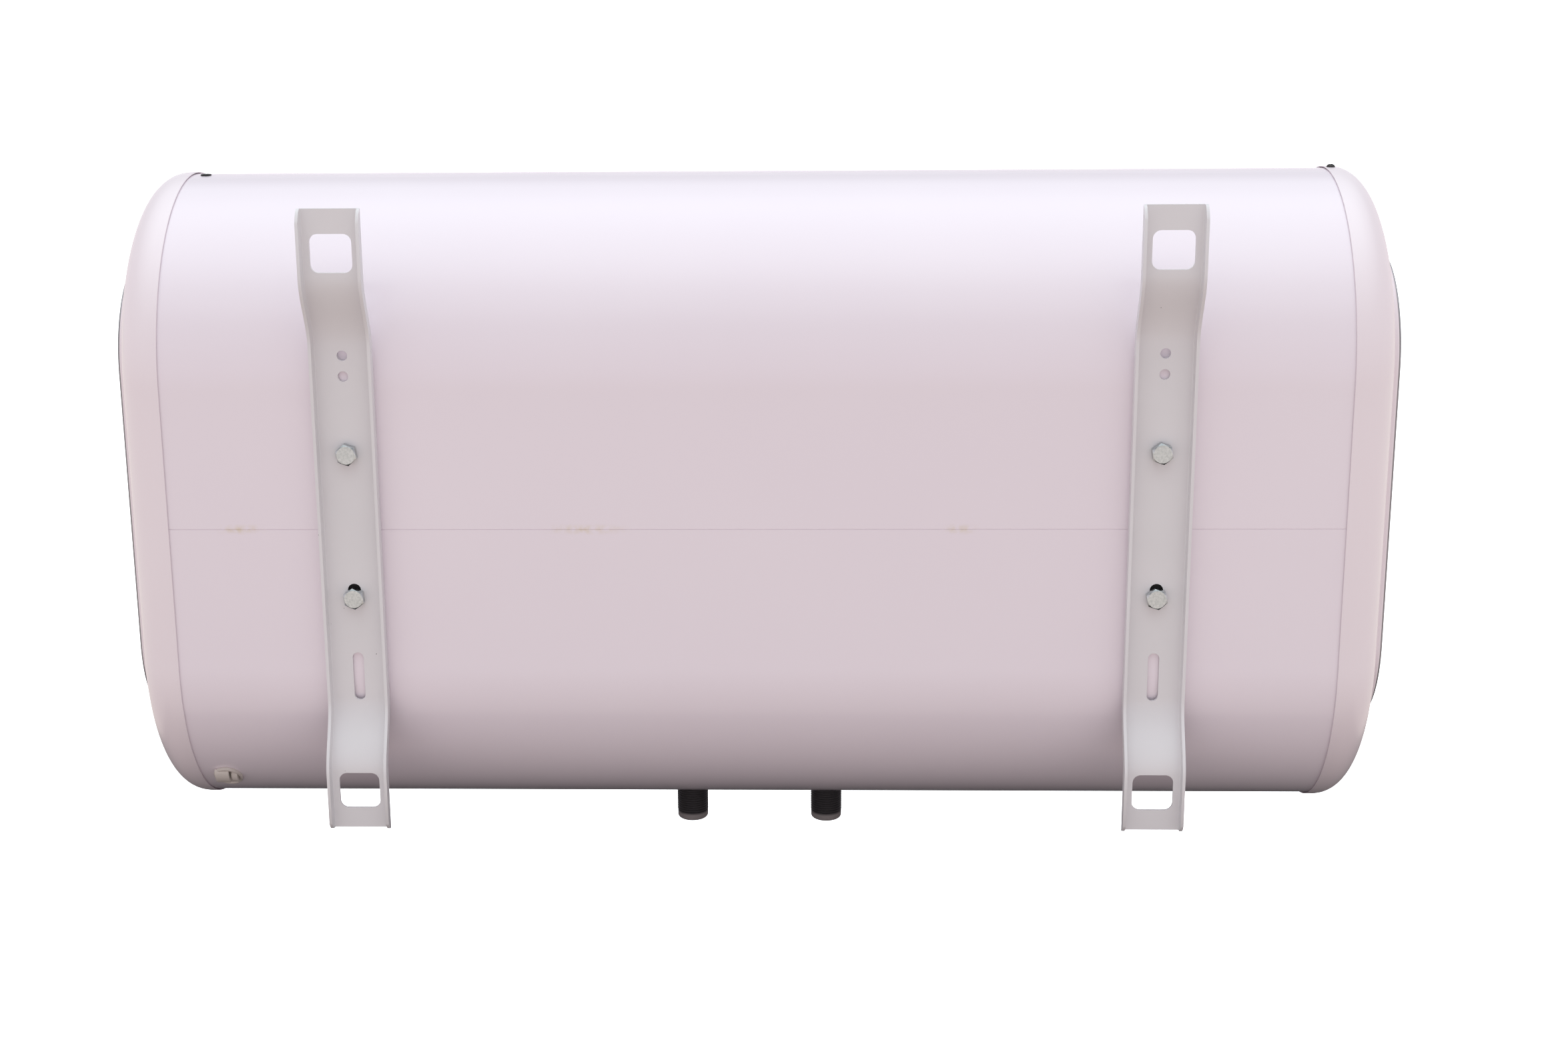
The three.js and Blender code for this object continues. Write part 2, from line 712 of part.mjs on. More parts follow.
const capScrew = () =>
  turnedZ(
    [
      [0, -8],
      [SCREW_RADIUS, -8],
      [SCREW_RADIUS, CLEARANCE],
      [3, CLEARANCE],
      [2.6, 1.6],
      [0, 2.1],
    ],
  );
for (const [x, up] of capScrews) {
  const name = `cap_screw_${x > 0 ? "right" : "left"}_${up > 0 ? "top" : "bottom"}`;
  const screw = up > 0 ? capScrew() : capScrew().rotateX(HALF_TURN);
  add(body, name, screw, blackPlastic, x, 0, up * (FLAT_HALF + CAP_RADIUS));
}

// ---------------------------------------------------------------- hanging brackets and their bolts

const STEP_RUN = 48; // height over which an end steps out towards the wall
const STEP_PARTS = 6;
const UPPER_STEP_FROM = 129;
const LOWER_STEP_FROM = -117;
const WINDOW = { width: 27.5, height: 25.3, radius: 5.5 };
const WINDOW_HEIGHTS = [192, -178];
const ROUND_HOLES = [121.5, 107.5];
const ADJUSTING_SLOT = { height: -101.5, length: 34, width: 7.6 };
const BOLT_SLOT_LENGTH = 18; // at the lower bolt, to level the heater
const FLANGE_TAPER = { top: 9, bottom: 6 };
const PAST_BRACKET = 60; // in Y, beyond anything of the bracket

const smooth = (t) => t * t * (3 - 2 * t);
const clamp01 = (t) => Math.min(1, Math.max(0, t));

// How far the channel has stepped towards the wall at a height.
function stepOut(z) {
  const upper = clamp01((z - UPPER_STEP_FROM) / STEP_RUN);
  const lower = clamp01((LOWER_STEP_FROM - z) / STEP_RUN);
  return BRACKET_STEP * (smooth(upper) + smooth(lower));
}

// The channel's own thickness at a height: the side flanges are cut back at both ends.
function channelDepth(z) {
  const fromTop = clamp01((BRACKET_TOP - z) / FLANGE_TAPER.top);
  const fromBottom = clamp01((z - BRACKET_BOTTOM) / FLANGE_TAPER.bottom);
  const share = Math.sqrt(Math.min(fromTop, fromBottom));
  return BRACKET_SHEET + (BRACKET_DEPTH - BRACKET_SHEET) * share;
}

function bracketHeights() {
  const list = [BRACKET_BOTTOM, BRACKET_TOP];
  for (const t of [0.2, 1])
    list.push(BRACKET_TOP - t * FLANGE_TAPER.top, BRACKET_BOTTOM + t * FLANGE_TAPER.bottom);
  for (let i = 0; i <= STEP_PARTS; i++) {
    const rise = (STEP_RUN * i) / STEP_PARTS;
    list.push(UPPER_STEP_FROM + rise, LOWER_STEP_FROM - rise);
  }
  return list.sort((a, b) => a - b);
}

// A side outline in (y, z), run across the bracket along X.
function acrossX(outline, width) {
  const shape = new THREE.Shape(outline.map(([y, z]) => new THREE.Vector2(y, z)));
  return new THREE.ExtrudeGeometry(shape, { depth: width, bevelEnabled: false })
    .rotateX(RIGHT_ANGLE)
    .rotateZ(RIGHT_ANGLE)
    .translate(-width / 2, 0, 0);
}

function hangingBracket() {
  const heights = bracketHeights();
  const casingSide = heights.map((z) => [CLEARANCE + stepOut(z), z]);
  const wallSide = heights.map((z) => [CLEARANCE + stepOut(z) + channelDepth(z), z]);
  const block = acrossX([...casingSide, ...wallSide.reverse()], BRACKET_WIDTH);
  const webFace = heights.map((z) => [CLEARANCE + stepOut(z) + BRACKET_SHEET, z]);
  const trough = acrossX(
    [
      [webFace[0][0], BRACKET_BOTTOM - 5],
      ...webFace,
      [webFace.at(-1)[0], BRACKET_TOP + 5],
      [PAST_BRACKET, BRACKET_TOP + 5],
      [PAST_BRACKET, BRACKET_BOTTOM - 5],
    ],
    BRACKET_WIDTH - 2 * BRACKET_SHEET,
  );
  const through = (width, height, radius, z) =>
    plateY(width, height, radius, -THROUGH, PAST_BRACKET, 0, z);
  const slot = (width, length, z) => through(width, length, width / 2 - 0.01, z);
  const boltHole = 2 * BOLT_RADIUS + 1;
  return cut(
    block,
    trough,
    ...WINDOW_HEIGHTS.map((z) => through(WINDOW.width, WINDOW.height, WINDOW.radius, z)),
    ...ROUND_HOLES.map((z) => rodY(3.5, -THROUGH, 2 * THROUGH).translate(0, 0, z)),
    slot(ADJUSTING_SLOT.width, ADJUSTING_SLOT.length, ADJUSTING_SLOT.height),
    rodY(boltHole / 2, -THROUGH, 2 * THROUGH).translate(0, 0, BOLT_HEIGHTS[0]),
    slot(boltHole, BOLT_SLOT_LENGTH, BOLT_HEIGHTS[1] + (BOLT_SLOT_LENGTH - boltHole) / 2),
  );
}

// A hexagon bolt along Y, with a chamfered head and its point inside the tank strap's boss.
function bracketBolt() {
  const under = CLEARANCE + BRACKET_SHEET + CLEARANCE;
  const top = under + BOLT_HEAD_HEIGHT;
  const corner = BOLT_HEAD_ACROSS_FLATS / Math.sqrt(3);
  const head = rodY(corner, under, top, 6);
  const chamfer = turnedY(
    [
      [0, under - 1],
      [corner + 1, under - 1],
      [corner + 1, top - 1.6],
      [6.1, top],
      [0, top],
    ],
    18,
  );
  const shank = rodY(BOLT_RADIUS, -22, under + 1);
  return surface(solid(head).intersect(solid(chamfer)).add(solid(shank)));
}

for (const [which, side] of Object.entries(ends)) {
  add(rear, `hanging_bracket_${which}`, hangingBracket(), greyPowderCoat, side * BRACKET_X);
  for (const z of BOLT_HEIGHTS) {
    const level = z > 0 ? "upper" : "lower";
    add(rear, `bracket_bolt_${which}_${level}`, bracketBolt(), brightZinc, side * BRACKET_X, 0, z);
  }
}

// ---------------------------------------------------------------- cord gland, without its cord

function glandRim() {
  return toGland(
    turnedZ([
      [GLAND_HOLE - 1.8, -5],
      [GLAND_HOLE - CLEARANCE, -5],
      [GLAND_HOLE - CLEARANCE, 0.6],
      [GLAND_HOLE + 1.6, 0.6],
      [GLAND_HOLE + 1, 2],
      [GLAND_HOLE - 1.8, 2],
      [GLAND_HOLE - 1.8, -5],
    ]),
  );
}

// The two jaws that grip the cord: a saddle and a rounded wedge.
function glandJaws() {
  const inside = GLAND_HOLE - 1.8 - CLEARANCE;
  const plug = rodZ(inside, -8, 5.5);
  const split = box(1.2, 30, 8, 1.6, 0, 4);
  return toGland(cut(plug, split));
}
add(body, "cord_gland_rim", glandRim(), warmGreyPlastic);
add(body, "cord_gland_jaws", glandJaws(), warmGreyPlastic);

// ---------------------------------------------------------------- electrical parts in the right end cap

const PLATE_X = TANK_NECK_END + 2;
const onPlate = PLATE_X + 1.5 + CLEARANCE;
add(body, "component_plate", box(1.5, 150, 92, PLATE_X + 0.75, 0, 0), plainSteel);

function relayBoard() {
  const board = box(1.6, 60, 70, onPlate + 4, 0, 0);
  const relays = [-16, 16].map((y) => box(15, 19, 28, onPlate + 11, y, 15));
  const standoffs = [-26, 26].map((y) => rodX(2.5, onPlate, onPlate + 4, 8).translate(0, y, -30));
  return join(board, ...relays, ...standoffs);
}
add(body, "relay_board", relayBoard(), boardGreen);

function terminalBlock() {
  const block = box(18, 14, 52, onPlate + 9, 46, 0);
  const entries = [-16, 0, 16].map((z) => rodX(3.2, onPlate + 8, onPlate + 20).translate(0, 46, z));
  return cut(block, ...entries);
}
add(body, "terminal_block", terminalBlock(), whitePlastic);

const thermalCutout = () =>
  join(
    rodX(15, onPlate, onPlate + 12, 18),
    rodX(4, onPlate + 11, onPlate + 16),
    ...[-9, 9].map((z) => box(10, 1, 6, onPlate + 16, 0, z)),
  ).translate(0, -54, 0);
add(body, "thermal_cutout", thermalCutout(), blackPlastic);

// ---------------------------------------------------------------- control panel on the front

const BEZEL = 5;
const bezelBack = -RADIUS - CLEARANCE;
const bezelFront = bezelBack - BEZEL;
const WINDOW_PANE = { width: 92, height: 40, x: -42 };
const PANE_THICKNESS = 2.6;
const PANE_CORNER = 4;
const BEZEL_CORNER = 14;
const KNOB_X = 66;
const KNOB_SHAFT = 3;
const BUTTON_X = 22;
const BUTTON_SPREAD = 13;
const BUTTON_RADIUS = 6;

const panelGroup = new THREE.Group();
panelGroup.position.x = PANEL_X;
body.add(panelGroup);

function bezel() {
  const plate = plateY(PANEL_WIDTH, PANEL_HEIGHT, BEZEL_CORNER, bezelFront, BEZEL);
  const recess = plateY(
    WINDOW_PANE.width + 2 * CLEARANCE,
    WINDOW_PANE.height + 2 * CLEARANCE,
    PANE_CORNER + CLEARANCE,
    bezelFront - 2,
    2 + PANE_THICKNESS + CLEARANCE,
    WINDOW_PANE.x,
  );
  const through = (radius, x, z) => rodY(radius, bezelFront - 2, bezelBack + 2).translate(x, 0, z);
  return cut(
    plate,
    recess,
    through(KNOB_SHAFT + 0.4, KNOB_X, 0),
    through(BUTTON_RADIUS + CLEARANCE, BUTTON_X, BUTTON_SPREAD),
    through(BUTTON_RADIUS + CLEARANCE, BUTTON_X, -BUTTON_SPREAD),
  );
}
add(panelGroup, "control_panel", bezel(), whitePlastic);

const pane = plateY(
  WINDOW_PANE.width,
  WINDOW_PANE.height,
  PANE_CORNER,
  bezelFront,
  PANE_THICKNESS,
  WINDOW_PANE.x,
);
add(panelGroup, "display_window", pane, darkGlass);
add(panelGroup, "control_board", box(180, 1.6, 44, 0, bezelBack + 15, 0), boardGreen);

// The knob is turned in one piece with its shaft, which passes through the panel.
const knob = turnedY([
  [0, bezelFront - 16],
  [14, bezelFront - 16],
  [15.5, bezelFront - 14.5],
  [17, bezelFront - 0.6],
  [KNOB_SHAFT, bezelFront - 0.6],
  [KNOB_SHAFT, bezelBack + 10],
  [0, bezelBack + 10],
]);
const pointer = box(1.6, 1, 9, 0, bezelFront - 16.3, 8);
add(panelGroup, "temperature_knob", join(knob, pointer), greyTrim, KNOB_X);

const button = () =>
  turnedY(
    [
      [0, bezelFront - 2.6],
      [BUTTON_RADIUS - 0.8, bezelFront - 2.6],
      [BUTTON_RADIUS, bezelFront - 1.8],
      [BUTTON_RADIUS, bezelBack + CLEARANCE],
      [BUTTON_RADIUS + 1.6, bezelBack + CLEARANCE],
      [BUTTON_RADIUS + 1.6, bezelBack + 2],
      [0, bezelBack + 2],
    ],
  );
add(panelGroup, "power_button", button(), whitePlastic, BUTTON_X, 0, BUTTON_SPREAD);
add(panelGroup, "mode_button", button(), whitePlastic, BUTTON_X, 0, -BUTTON_SPREAD);

export default heater;
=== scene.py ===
"""Looks for a flat, horizontal, wall-hung storage water heater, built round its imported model."""

import json
import math

import bmesh
import bpy
from mathutils import Matrix, Vector


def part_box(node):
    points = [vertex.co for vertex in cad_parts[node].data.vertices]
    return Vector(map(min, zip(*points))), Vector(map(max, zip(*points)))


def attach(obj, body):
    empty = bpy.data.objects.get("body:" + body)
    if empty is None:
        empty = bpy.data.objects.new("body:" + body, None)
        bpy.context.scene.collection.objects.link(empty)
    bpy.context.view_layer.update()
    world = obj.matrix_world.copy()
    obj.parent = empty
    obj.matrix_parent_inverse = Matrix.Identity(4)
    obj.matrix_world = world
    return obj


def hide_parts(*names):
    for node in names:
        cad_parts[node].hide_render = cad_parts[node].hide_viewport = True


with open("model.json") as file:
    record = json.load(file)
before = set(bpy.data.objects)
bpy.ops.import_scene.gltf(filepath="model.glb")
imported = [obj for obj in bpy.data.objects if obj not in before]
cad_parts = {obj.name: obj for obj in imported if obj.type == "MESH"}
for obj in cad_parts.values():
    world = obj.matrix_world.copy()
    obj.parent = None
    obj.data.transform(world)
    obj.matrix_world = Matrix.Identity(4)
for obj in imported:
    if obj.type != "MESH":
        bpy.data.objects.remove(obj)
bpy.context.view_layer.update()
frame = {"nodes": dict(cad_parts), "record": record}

MM = 0.001

# ---------------------------------------------------------------- outer casing
# One sheet of steel, stoved with white enamel paint and rolled into a flat oval. Its two long
# edges meet in a seam across the back, where a little of the foam filling has seeped out and
# left faint yellow stains. Holes let out the pipes, bolts, cord and front panel.

casing_low, casing_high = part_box("outer_casing")
axis_y = (casing_low.y + casing_high.y) / 2
back_y = casing_high.y
casing_radius = (casing_high.y - casing_low.y) / 2
flat_half = casing_high.z - casing_radius
casing_bottom = casing_low.z
CASING_SHEET = 0.8 * MM
SEAM_HEIGHT = 2 * MM
SEAM_GAP = 0.55 * MM
SEAM_DEPTH = 0.35 * MM
CORNER_POINTS = 56
# The rounded corners stop 0.011 mm short of each other, so points closer than this are joined.
CORNER_GAP = 0.05 * MM
PIPE_HOLE = 14 * MM
SMOOTH_WITHIN = math.cos(math.radians(12))


def linear(hex_colour):
    """An sRGB hex colour as linear red, green, blue and alpha."""
    channels = [int(hex_colour[i : i + 2], 16) / 255 for i in (1, 3, 5)]
    return (*(c / 12.92 if c <= 0.04045 else ((c + 0.055) / 1.055) ** 2.4 for c in channels), 1.0)


def add_node(tree, kind, inputs=None, **settings):
    """Adds a node. Each input is named by its identifier or label, and gets a link or a value.

    A node given for an input stands for its first output, and a list gives several links.
    """
    node = tree.nodes.new(kind)
    for name, value in settings.items():
        setattr(node, name, value)
    for key, value in (inputs or {}).items():
        socket = next(s for s in node.inputs if key in (s.identifier, s.name))
        for source in value if isinstance(value, list) else [value]:
            if isinstance(source, bpy.types.Node):
                source = source.outputs[0]
            if isinstance(source, bpy.types.NodeSocket):
                tree.links.new(source, socket)
            else:
                socket.default_value = source
    return node


def start_material(name, **constants):
    """A material with its tree and its shader."""
    material = bpy.data.materials.new(name)
    material.use_nodes = True
    tree = material.node_tree
    shader = tree.nodes["Principled BSDF"]
    for socket, value in constants.items():
        shader.inputs[socket.replace("_", " ")].default_value = value
    return material, tree, shader


def add_grain(tree, shader, size, detail, tones=None, relief=None, roughness=None):
    """Noise of this size gives a finish its relief, its range of roughness and its two tones."""
    place = add_node(tree, "ShaderNodeTexCoord").outputs["Object"]
    noise = add_node(tree, "ShaderNodeTexNoise", {"Vector": place, "Scale": 1 / size, "Detail": detail})
    level = noise.outputs["Fac"]
    if relief:
        bump = add_node(tree, "ShaderNodeBump", {"Height": level, "Strength": 1.0, "Distance": relief})
        tree.links.new(bump.outputs["Normal"], shader.inputs["Normal"])
    if roughness:
        spread = {"Value": level, "To Min": roughness[0], "To Max": roughness[1]}
        rough = add_node(tree, "ShaderNodeMapRange", spread)
        tree.links.new(rough.outputs[0], shader.inputs["Roughness"])
    if tones:
        dark, light = (linear(tone) for tone in tones)
        between = {"Factor_Float": level, "A_Color": dark, "B_Color": light}
        tint = add_node(tree, "ShaderNodeMix", between, data_type="RGBA")
        tree.links.new(tint.outputs[2], shader.inputs["Base Color"])
        return tint.outputs[2]


def fade_from(tree, coordinate, centre, reach):
    """One at the centre, falling smoothly to nothing at this reach on either side of it."""
    offset = {"Value": coordinate, "Value_001": centre}
    along = add_node(tree, "ShaderNodeMath", offset, operation="SUBTRACT")
    away = add_node(tree, "ShaderNodeMath", {"Value": along}, operation="ABSOLUTE")
    fall = {"Value": away, "From Max": reach, "To Min": 1.0, "To Max": 0.0}
    return add_node(tree, "ShaderNodeMapRange", fall, interpolation_type="SMOOTHSTEP")


# Stoved enamel on rolled steel: a hard gloss with the slight waviness of sprayed paint, whose
# waves are about 3 mm apart and a few thousandths of a millimetre high. Its tone drifts faintly
# over about a seventh of a metre.
PEEL_WAVE = 3 * MM
PEEL_HEIGHT = 0.006 * MM
PAINT_DRIFT = 1 / 7
enamel, tree, shader = start_material("stoved_enamel_paint", Roughness=0.14, IOR=1.52)
add_grain(tree, shader, PEEL_WAVE, 1.0, relief=PEEL_HEIGHT)
tint = add_grain(tree, shader, PAINT_DRIFT, 2.0, tones=("#efe4ec", "#f2e8ef"))

# The foam's stains lie on the back, near the seam: where along it each one is, and how far it
# runs. Their blotches are about 5 mm across.
STAIN_WIDTH = 4.5 * MM
STAIN_GRAIN = 5 * MM
STAINS = ((112 * MM, 34 * MM), (-139 * MM, 14 * MM), (346 * MM, 20 * MM))
place = add_node(tree, "ShaderNodeTexCoord").outputs["Object"]
axes = add_node(tree, "ShaderNodeSeparateXYZ", {"Vector": place}).outputs
behind = {"Value": axes["Y"], "Value_001": axis_y}
stained = add_node(tree, "ShaderNodeMath", behind, operation="GREATER_THAN")
patches = [fade_from(tree, axes["X"], centre, half) for centre, half in STAINS]
spread = patches[0]
for patch in patches[1:]:
    spread = add_node(tree, "ShaderNodeMath", {"Value": spread, "Value_001": patch}, operation="MAXIMUM")
blotch = add_node(tree, "ShaderNodeTexNoise", {"Vector": place, "Scale": 1 / STAIN_GRAIN, "Detail": 3.0})
blotches = add_node(
    tree,
    "ShaderNodeMapRange",
    {"Value": blotch.outputs["Fac"], "From Min": 0.35, "From Max": 0.65, "To Max": 0.75},
)
for factor in (fade_from(tree, axes["Z"], SEAM_HEIGHT, STAIN_WIDTH), spread, blotches):
    both = {"Value": stained, "Value_001": factor}
    stained = add_node(tree, "ShaderNodeMath", both, operation="MULTIPLY")
painted = add_node(
    tree,
    "ShaderNodeMix",
    {"Factor_Float": stained, "A_Color": tint, "B_Color": linear("#e2d3bd")},
    data_type="RGBA",
)
tree.links.new(painted.outputs[2], shader.inputs["Base Color"])


def start_tree(name, lengths, counts=()):
    """A Geometry Nodes tree with these named inputs, and its input node's outputs."""
    tree = bpy.data.node_groups.new(name, "GeometryNodeTree")
    tree.interface.new_socket("Places", in_out="INPUT", socket_type="NodeSocketGeometry")
    for size in lengths:
        tree.interface.new_socket(size, in_out="INPUT", socket_type="NodeSocketFloat")
    for count in counts:
        tree.interface.new_socket(count, in_out="INPUT", socket_type="NodeSocketInt")
    tree.interface.new_socket("Geometry", in_out="OUTPUT", socket_type="NodeSocketGeometry")
    return tree, tree.nodes.new("NodeGroupInput").outputs


def finish_tree(tree, places, instance, material, rotation=None):
    """Puts the instance at each place, makes it real and gives it its material."""
    links = {"Points": places, "Instance": instance}
    if rotation is not None:
        links["Rotation"] = rotation
    spread_out = add_node(tree, "GeometryNodeInstanceOnPoints", links)
    real = add_node(tree, "GeometryNodeRealizeInstances", {"Geometry": spread_out})
    coated = add_node(tree, "GeometryNodeSetMaterial", {"Geometry": real, "Material": material})
    add_node(tree, "NodeGroupOutput", {"Geometry": coated})


def add_piece(name, mesh):
    """An object at the origin that shows this mesh."""
    piece = bpy.data.objects.new(name, mesh)
    bpy.context.scene.collection.objects.link(piece)
    return piece


def keep_result(piece):
    """Replaces the piece's mesh by what its modifiers make of it, and removes them."""
    graph = bpy.context.evaluated_depsgraph_get()
    mesh = bpy.data.meshes.new_from_object(piece.evaluated_get(graph))
    piece.modifiers.clear()
    piece.data = mesh
    return piece


def make_by_nodes(name, tree, places, values):
    """The plain mesh that a tree makes at these places, with these values for its inputs."""
    start = bpy.data.meshes.new(name)
    start.from_pydata(places, [], [])
    piece = add_piece(name, start)
    modifier = piece.modifiers.new("make", "NODES")
    modifier.node_group = tree
    for item in tree.interface.items_tree:
        if item.name in values:
            modifier[item.identifier] = values[item.name]
    keep_result(piece)
    slots = piece.data.materials
    for index in reversed(range(len(slots))):
        if slots[index] is None:
            slots.pop(index=index)
    return piece


def from_bmesh(name, shape, material):
    """A piece made from a bmesh, shaded smooth, with its faces pointing outwards."""
    bmesh.ops.remove_doubles(shape, verts=shape.verts, dist=0.001 * MM)
    bmesh.ops.recalc_face_normals(shape, faces=shape.faces)
    for face in shape.faces:
        face.smooth = True
    mesh = bpy.data.meshes.new(name)
    shape.to_mesh(mesh)
    shape.free()
    mesh.materials.append(material)
    return add_piece(name, mesh)


def cut_out(piece, cutters):
    """Cuts the shapes of a bmesh out of the piece."""
    tool = from_bmesh("cutter", cutters, piece.data.materials[0])
    cut = piece.modifiers.new("cut", "BOOLEAN")
    cut.object = tool
    cut.operation = "DIFFERENCE"
    cut.solver = "EXACT"
    keep_result(piece)
    bpy.data.objects.remove(tool)
    return piece


def add_cylinder(shape, radius, length, place, turn=Matrix(), sides=64):
    bmesh.ops.create_cone(
        shape,
        cap_ends=True,
        segments=sides,
        radius1=radius,
        radius2=radius,
        depth=length,
        matrix=Matrix.Translation(place) @ turn,
    )


def add_box(shape, size, place):
    bmesh.ops.create_cube(
        shape, size=1, matrix=Matrix.Translation(place) @ Matrix.Diagonal((*size, 1))
    )


def middle(node):
    low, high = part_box(node)
    return (low + high) / 2


def hand_over(piece, body, slot, *nodes):
    """Puts the piece on its body and hides the nodes it stands for. The slot is not used."""
    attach(piece, body)
    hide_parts(*nodes)


tree, sizes = start_tree("rolled_sheet", ["Depth", "Height", "Length", "Sheet"], ["Corner Points"])
path = {}
for size in ("Depth", "Height"):
    less_sheet = {"Value": sizes[size], "Value_001": sizes["Sheet"]}
    path[size] = add_node(tree, "ShaderNodeMath", less_sheet, operation="SUBTRACT")
corner = add_node(tree, "ShaderNodeMath", {"Value": path["Depth"], "Value_001": 2.0}, operation="DIVIDE")
outline = add_node(
    tree, "GeometryNodeCurvePrimitiveQuadrilateral", {"Width": path["Depth"], "Height": path["Height"]}
)
rounding = {"Curve": outline, "Radius": corner, "Count": sizes["Corner Points"], "Limit Radius": True}
oval = add_node(tree, "GeometryNodeFilletCurve", rounding, mode="POLY")
edge = add_node(
    tree, "GeometryNodeCurvePrimitiveQuadrilateral", {"Width": sizes["Sheet"], "Height": sizes["Length"]}
)
rolled = add_node(tree, "GeometryNodeCurveToMesh", {"Curve": oval, "Profile Curve": edge})
LENGTHWAYS = (math.pi / 2, 0, math.pi / 2)
lying = add_node(tree, "GeometryNodeTransform", {"Geometry": rolled, "Rotation": LENGTHWAYS})
closed = add_node(tree, "GeometryNodeMergeByDistance", {"Geometry": lying, "Distance": CORNER_GAP})
finish_tree(tree, sizes["Places"], closed, enamel)
casing_sizes = {
    "Depth": 2 * casing_radius,
    "Height": 2 * casing_high.z,
    "Length": 2 * casing_high.x,
    "Sheet": CASING_SHEET,
    "Corner Points": CORNER_POINTS,
}
casing = make_by_nodes("casing", tree, [(0, axis_y, 0)], casing_sizes)

ACROSS = Matrix.Rotation(math.pi / 2, 4, "X")
BOLT_HOLE = 6 * MM
PLUG_HOLE = 2.8 * MM
# How long a cutter is, to go right through the sheet.
CUT_LENGTH = 10 * MM
holes = bmesh.new()
seam_length = 2 * casing_high.x + 2 * MM
add_box(holes, (seam_length, 2 * SEAM_DEPTH, SEAM_GAP), (0, back_y, SEAM_HEIGHT))
for nipple in ("hot_outlet_nipple", "cold_inlet_nipple"):
    add_cylinder(holes, PIPE_HOLE, CUT_LENGTH, (middle(nipple).x, axis_y, casing_bottom))
for side in ("right", "left"):
    for level in ("upper", "lower"):
        bolt_at = middle(f"bracket_bolt_{side}_{level}")
        add_cylinder(holes, BOLT_HOLE, CUT_LENGTH, (bolt_at.x, back_y, bolt_at.z), ACROSS)
plug_at = middle("foam_hole_plug")
add_cylinder(holes, PLUG_HOLE, CUT_LENGTH, (plug_at.x, plug_at.y, casing_high.z))
gland_low, gland_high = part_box("cord_gland_rim")
gland_x = (gland_low.x + gland_high.x) / 2
GLAND_ANGLE = math.radians(46)
gland_outward = Vector((0, math.cos(GLAND_ANGLE), -math.sin(GLAND_ANGLE)))
gland_along = Vector((0, math.sin(GLAND_ANGLE), math.cos(GLAND_ANGLE)))
gland_place = Vector((gland_x, axis_y, -flat_half)) + casing_radius * gland_outward
# The gland's own frame: x along the casing, y up its curve, z straight out of it.
gland_turn = (
    (1, 0, 0, 0),
    (0, gland_along.y, gland_outward.y, 0),
    (0, gland_along.z, gland_outward.z, 0),
    (0, 0, 0, 1),
)
to_gland = Matrix.Translation(gland_place) @ Matrix(gland_turn)
GLAND_HOLE = (8.5 * MM, 11 * MM)
bmesh.ops.create_cone(
    holes,
    cap_ends=True,
    segments=64,
    radius1=1,
    radius2=1,
    depth=1,
    matrix=to_gland @ Matrix.Diagonal((*GLAND_HOLE, 12 * MM, 1)),
)
panel_low, panel_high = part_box("control_panel")
panel_middle = middle("control_panel")
PANEL_MARGIN = 7 * MM
opening_width = panel_high.x - panel_low.x - 2 * PANEL_MARGIN
opening_height = panel_high.z - panel_low.z - 2 * PANEL_MARGIN
panel_opening = (opening_width, CUT_LENGTH, opening_height)
add_box(holes, panel_opening, (panel_middle.x, casing_low.y, panel_middle.z))
cut_out(casing, holes)


def oval_normal(place):
    beyond_flat = max(place.z - flat_half, 0) + min(place.z + flat_half, 0)
    return Vector((0, place.y - axis_y, beyond_flat)).normalized()


def shade_by_rule(piece, rule):
    """Gives each face's corners the true surface's normal, on the faces that lie along it."""
    mesh = piece.data
    normals = []
    for face in mesh.polygons:
        for vertex in face.vertices:
            true = rule(mesh.vertices[vertex].co)
            fit = face.normal.dot(true)
            normals.append(math.copysign(1, fit) * true if abs(fit) > SMOOTH_WITHIN else face.normal)
    mesh.polygons.foreach_set("use_smooth", [True] * len(mesh.polygons))
    mesh.normals_split_custom_set(normals)


shade_by_rule(casing, oval_normal)
hand_over(casing, "heater", "casing_paint", "outer_casing")

# ---------------------------------------------------------------- end caps
# Moulded white ABS, glossy and a little pinker than the paint. A skirt reaches over the
# casing's end, and the rounding runs into a shallow groove round the flat end.

CAP_BAND = 3 * MM
CAP_REACH = 35.2 * MM
CAP_ROUNDING = 67 * MM
CAP_SQUARENESS = 2.48
CAP_FLAT_INSET = 55.6 * MM
CAP_WALL = 2.2 * MM
LIP_ROUND = 0.45 * MM
LIP_RELIEF = 0.5 * MM
GROOVE_DEPTH = 0.55 * MM
GROOVE_WIDTH = 0.8 * MM
GROOVE_FROM_FLAT = 2.4 * MM
GROOVE_ZONE = 6 * MM
ROUND_STEPS = 34
FINE_STEP = 0.35 * MM
HALF_OVAL_STEPS = 72

SKIRT_OUT = 1.3 * MM
FIT_GAP = 0.3 * MM

seam_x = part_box("end_cap_right")[0].x
cap_radius = casing_radius + SKIRT_OUT
cap_flat_radius = cap_radius - CAP_FLAT_INSET

# Injection-moulded ABS: glossy, with the faint unevenness of a tool polished by hand, drawn
# about a millimetre across so that it can show, and a tone that drifts faintly.
MOULD_GRAIN = 1.2 * MM
MOULD_RELIEF = 0.003 * MM
MOULD_DRIFT = 1 / 9
abs_white, tree, shader = start_material("moulded_white_abs", Roughness=0.27, IOR=1.53)
add_grain(tree, shader, MOULD_GRAIN, 2.0, relief=MOULD_RELIEF)
add_grain(tree, shader, MOULD_DRIFT, 2.0, tones=("#f0e4e9", "#f3e8ed"))


def join_rings(shape, rings):
    """Faces between rings of as many points each, where a ring may shrink to one point."""
    for lower, upper in zip(rings, rings[1:]):
        for i in range(len(lower)):
            j = (i + 1) % len(lower)
            corners = list(dict.fromkeys((lower[i], lower[j], upper[j], upper[i])))
            if len(corners) > 2:
                shape.faces.new(corners)


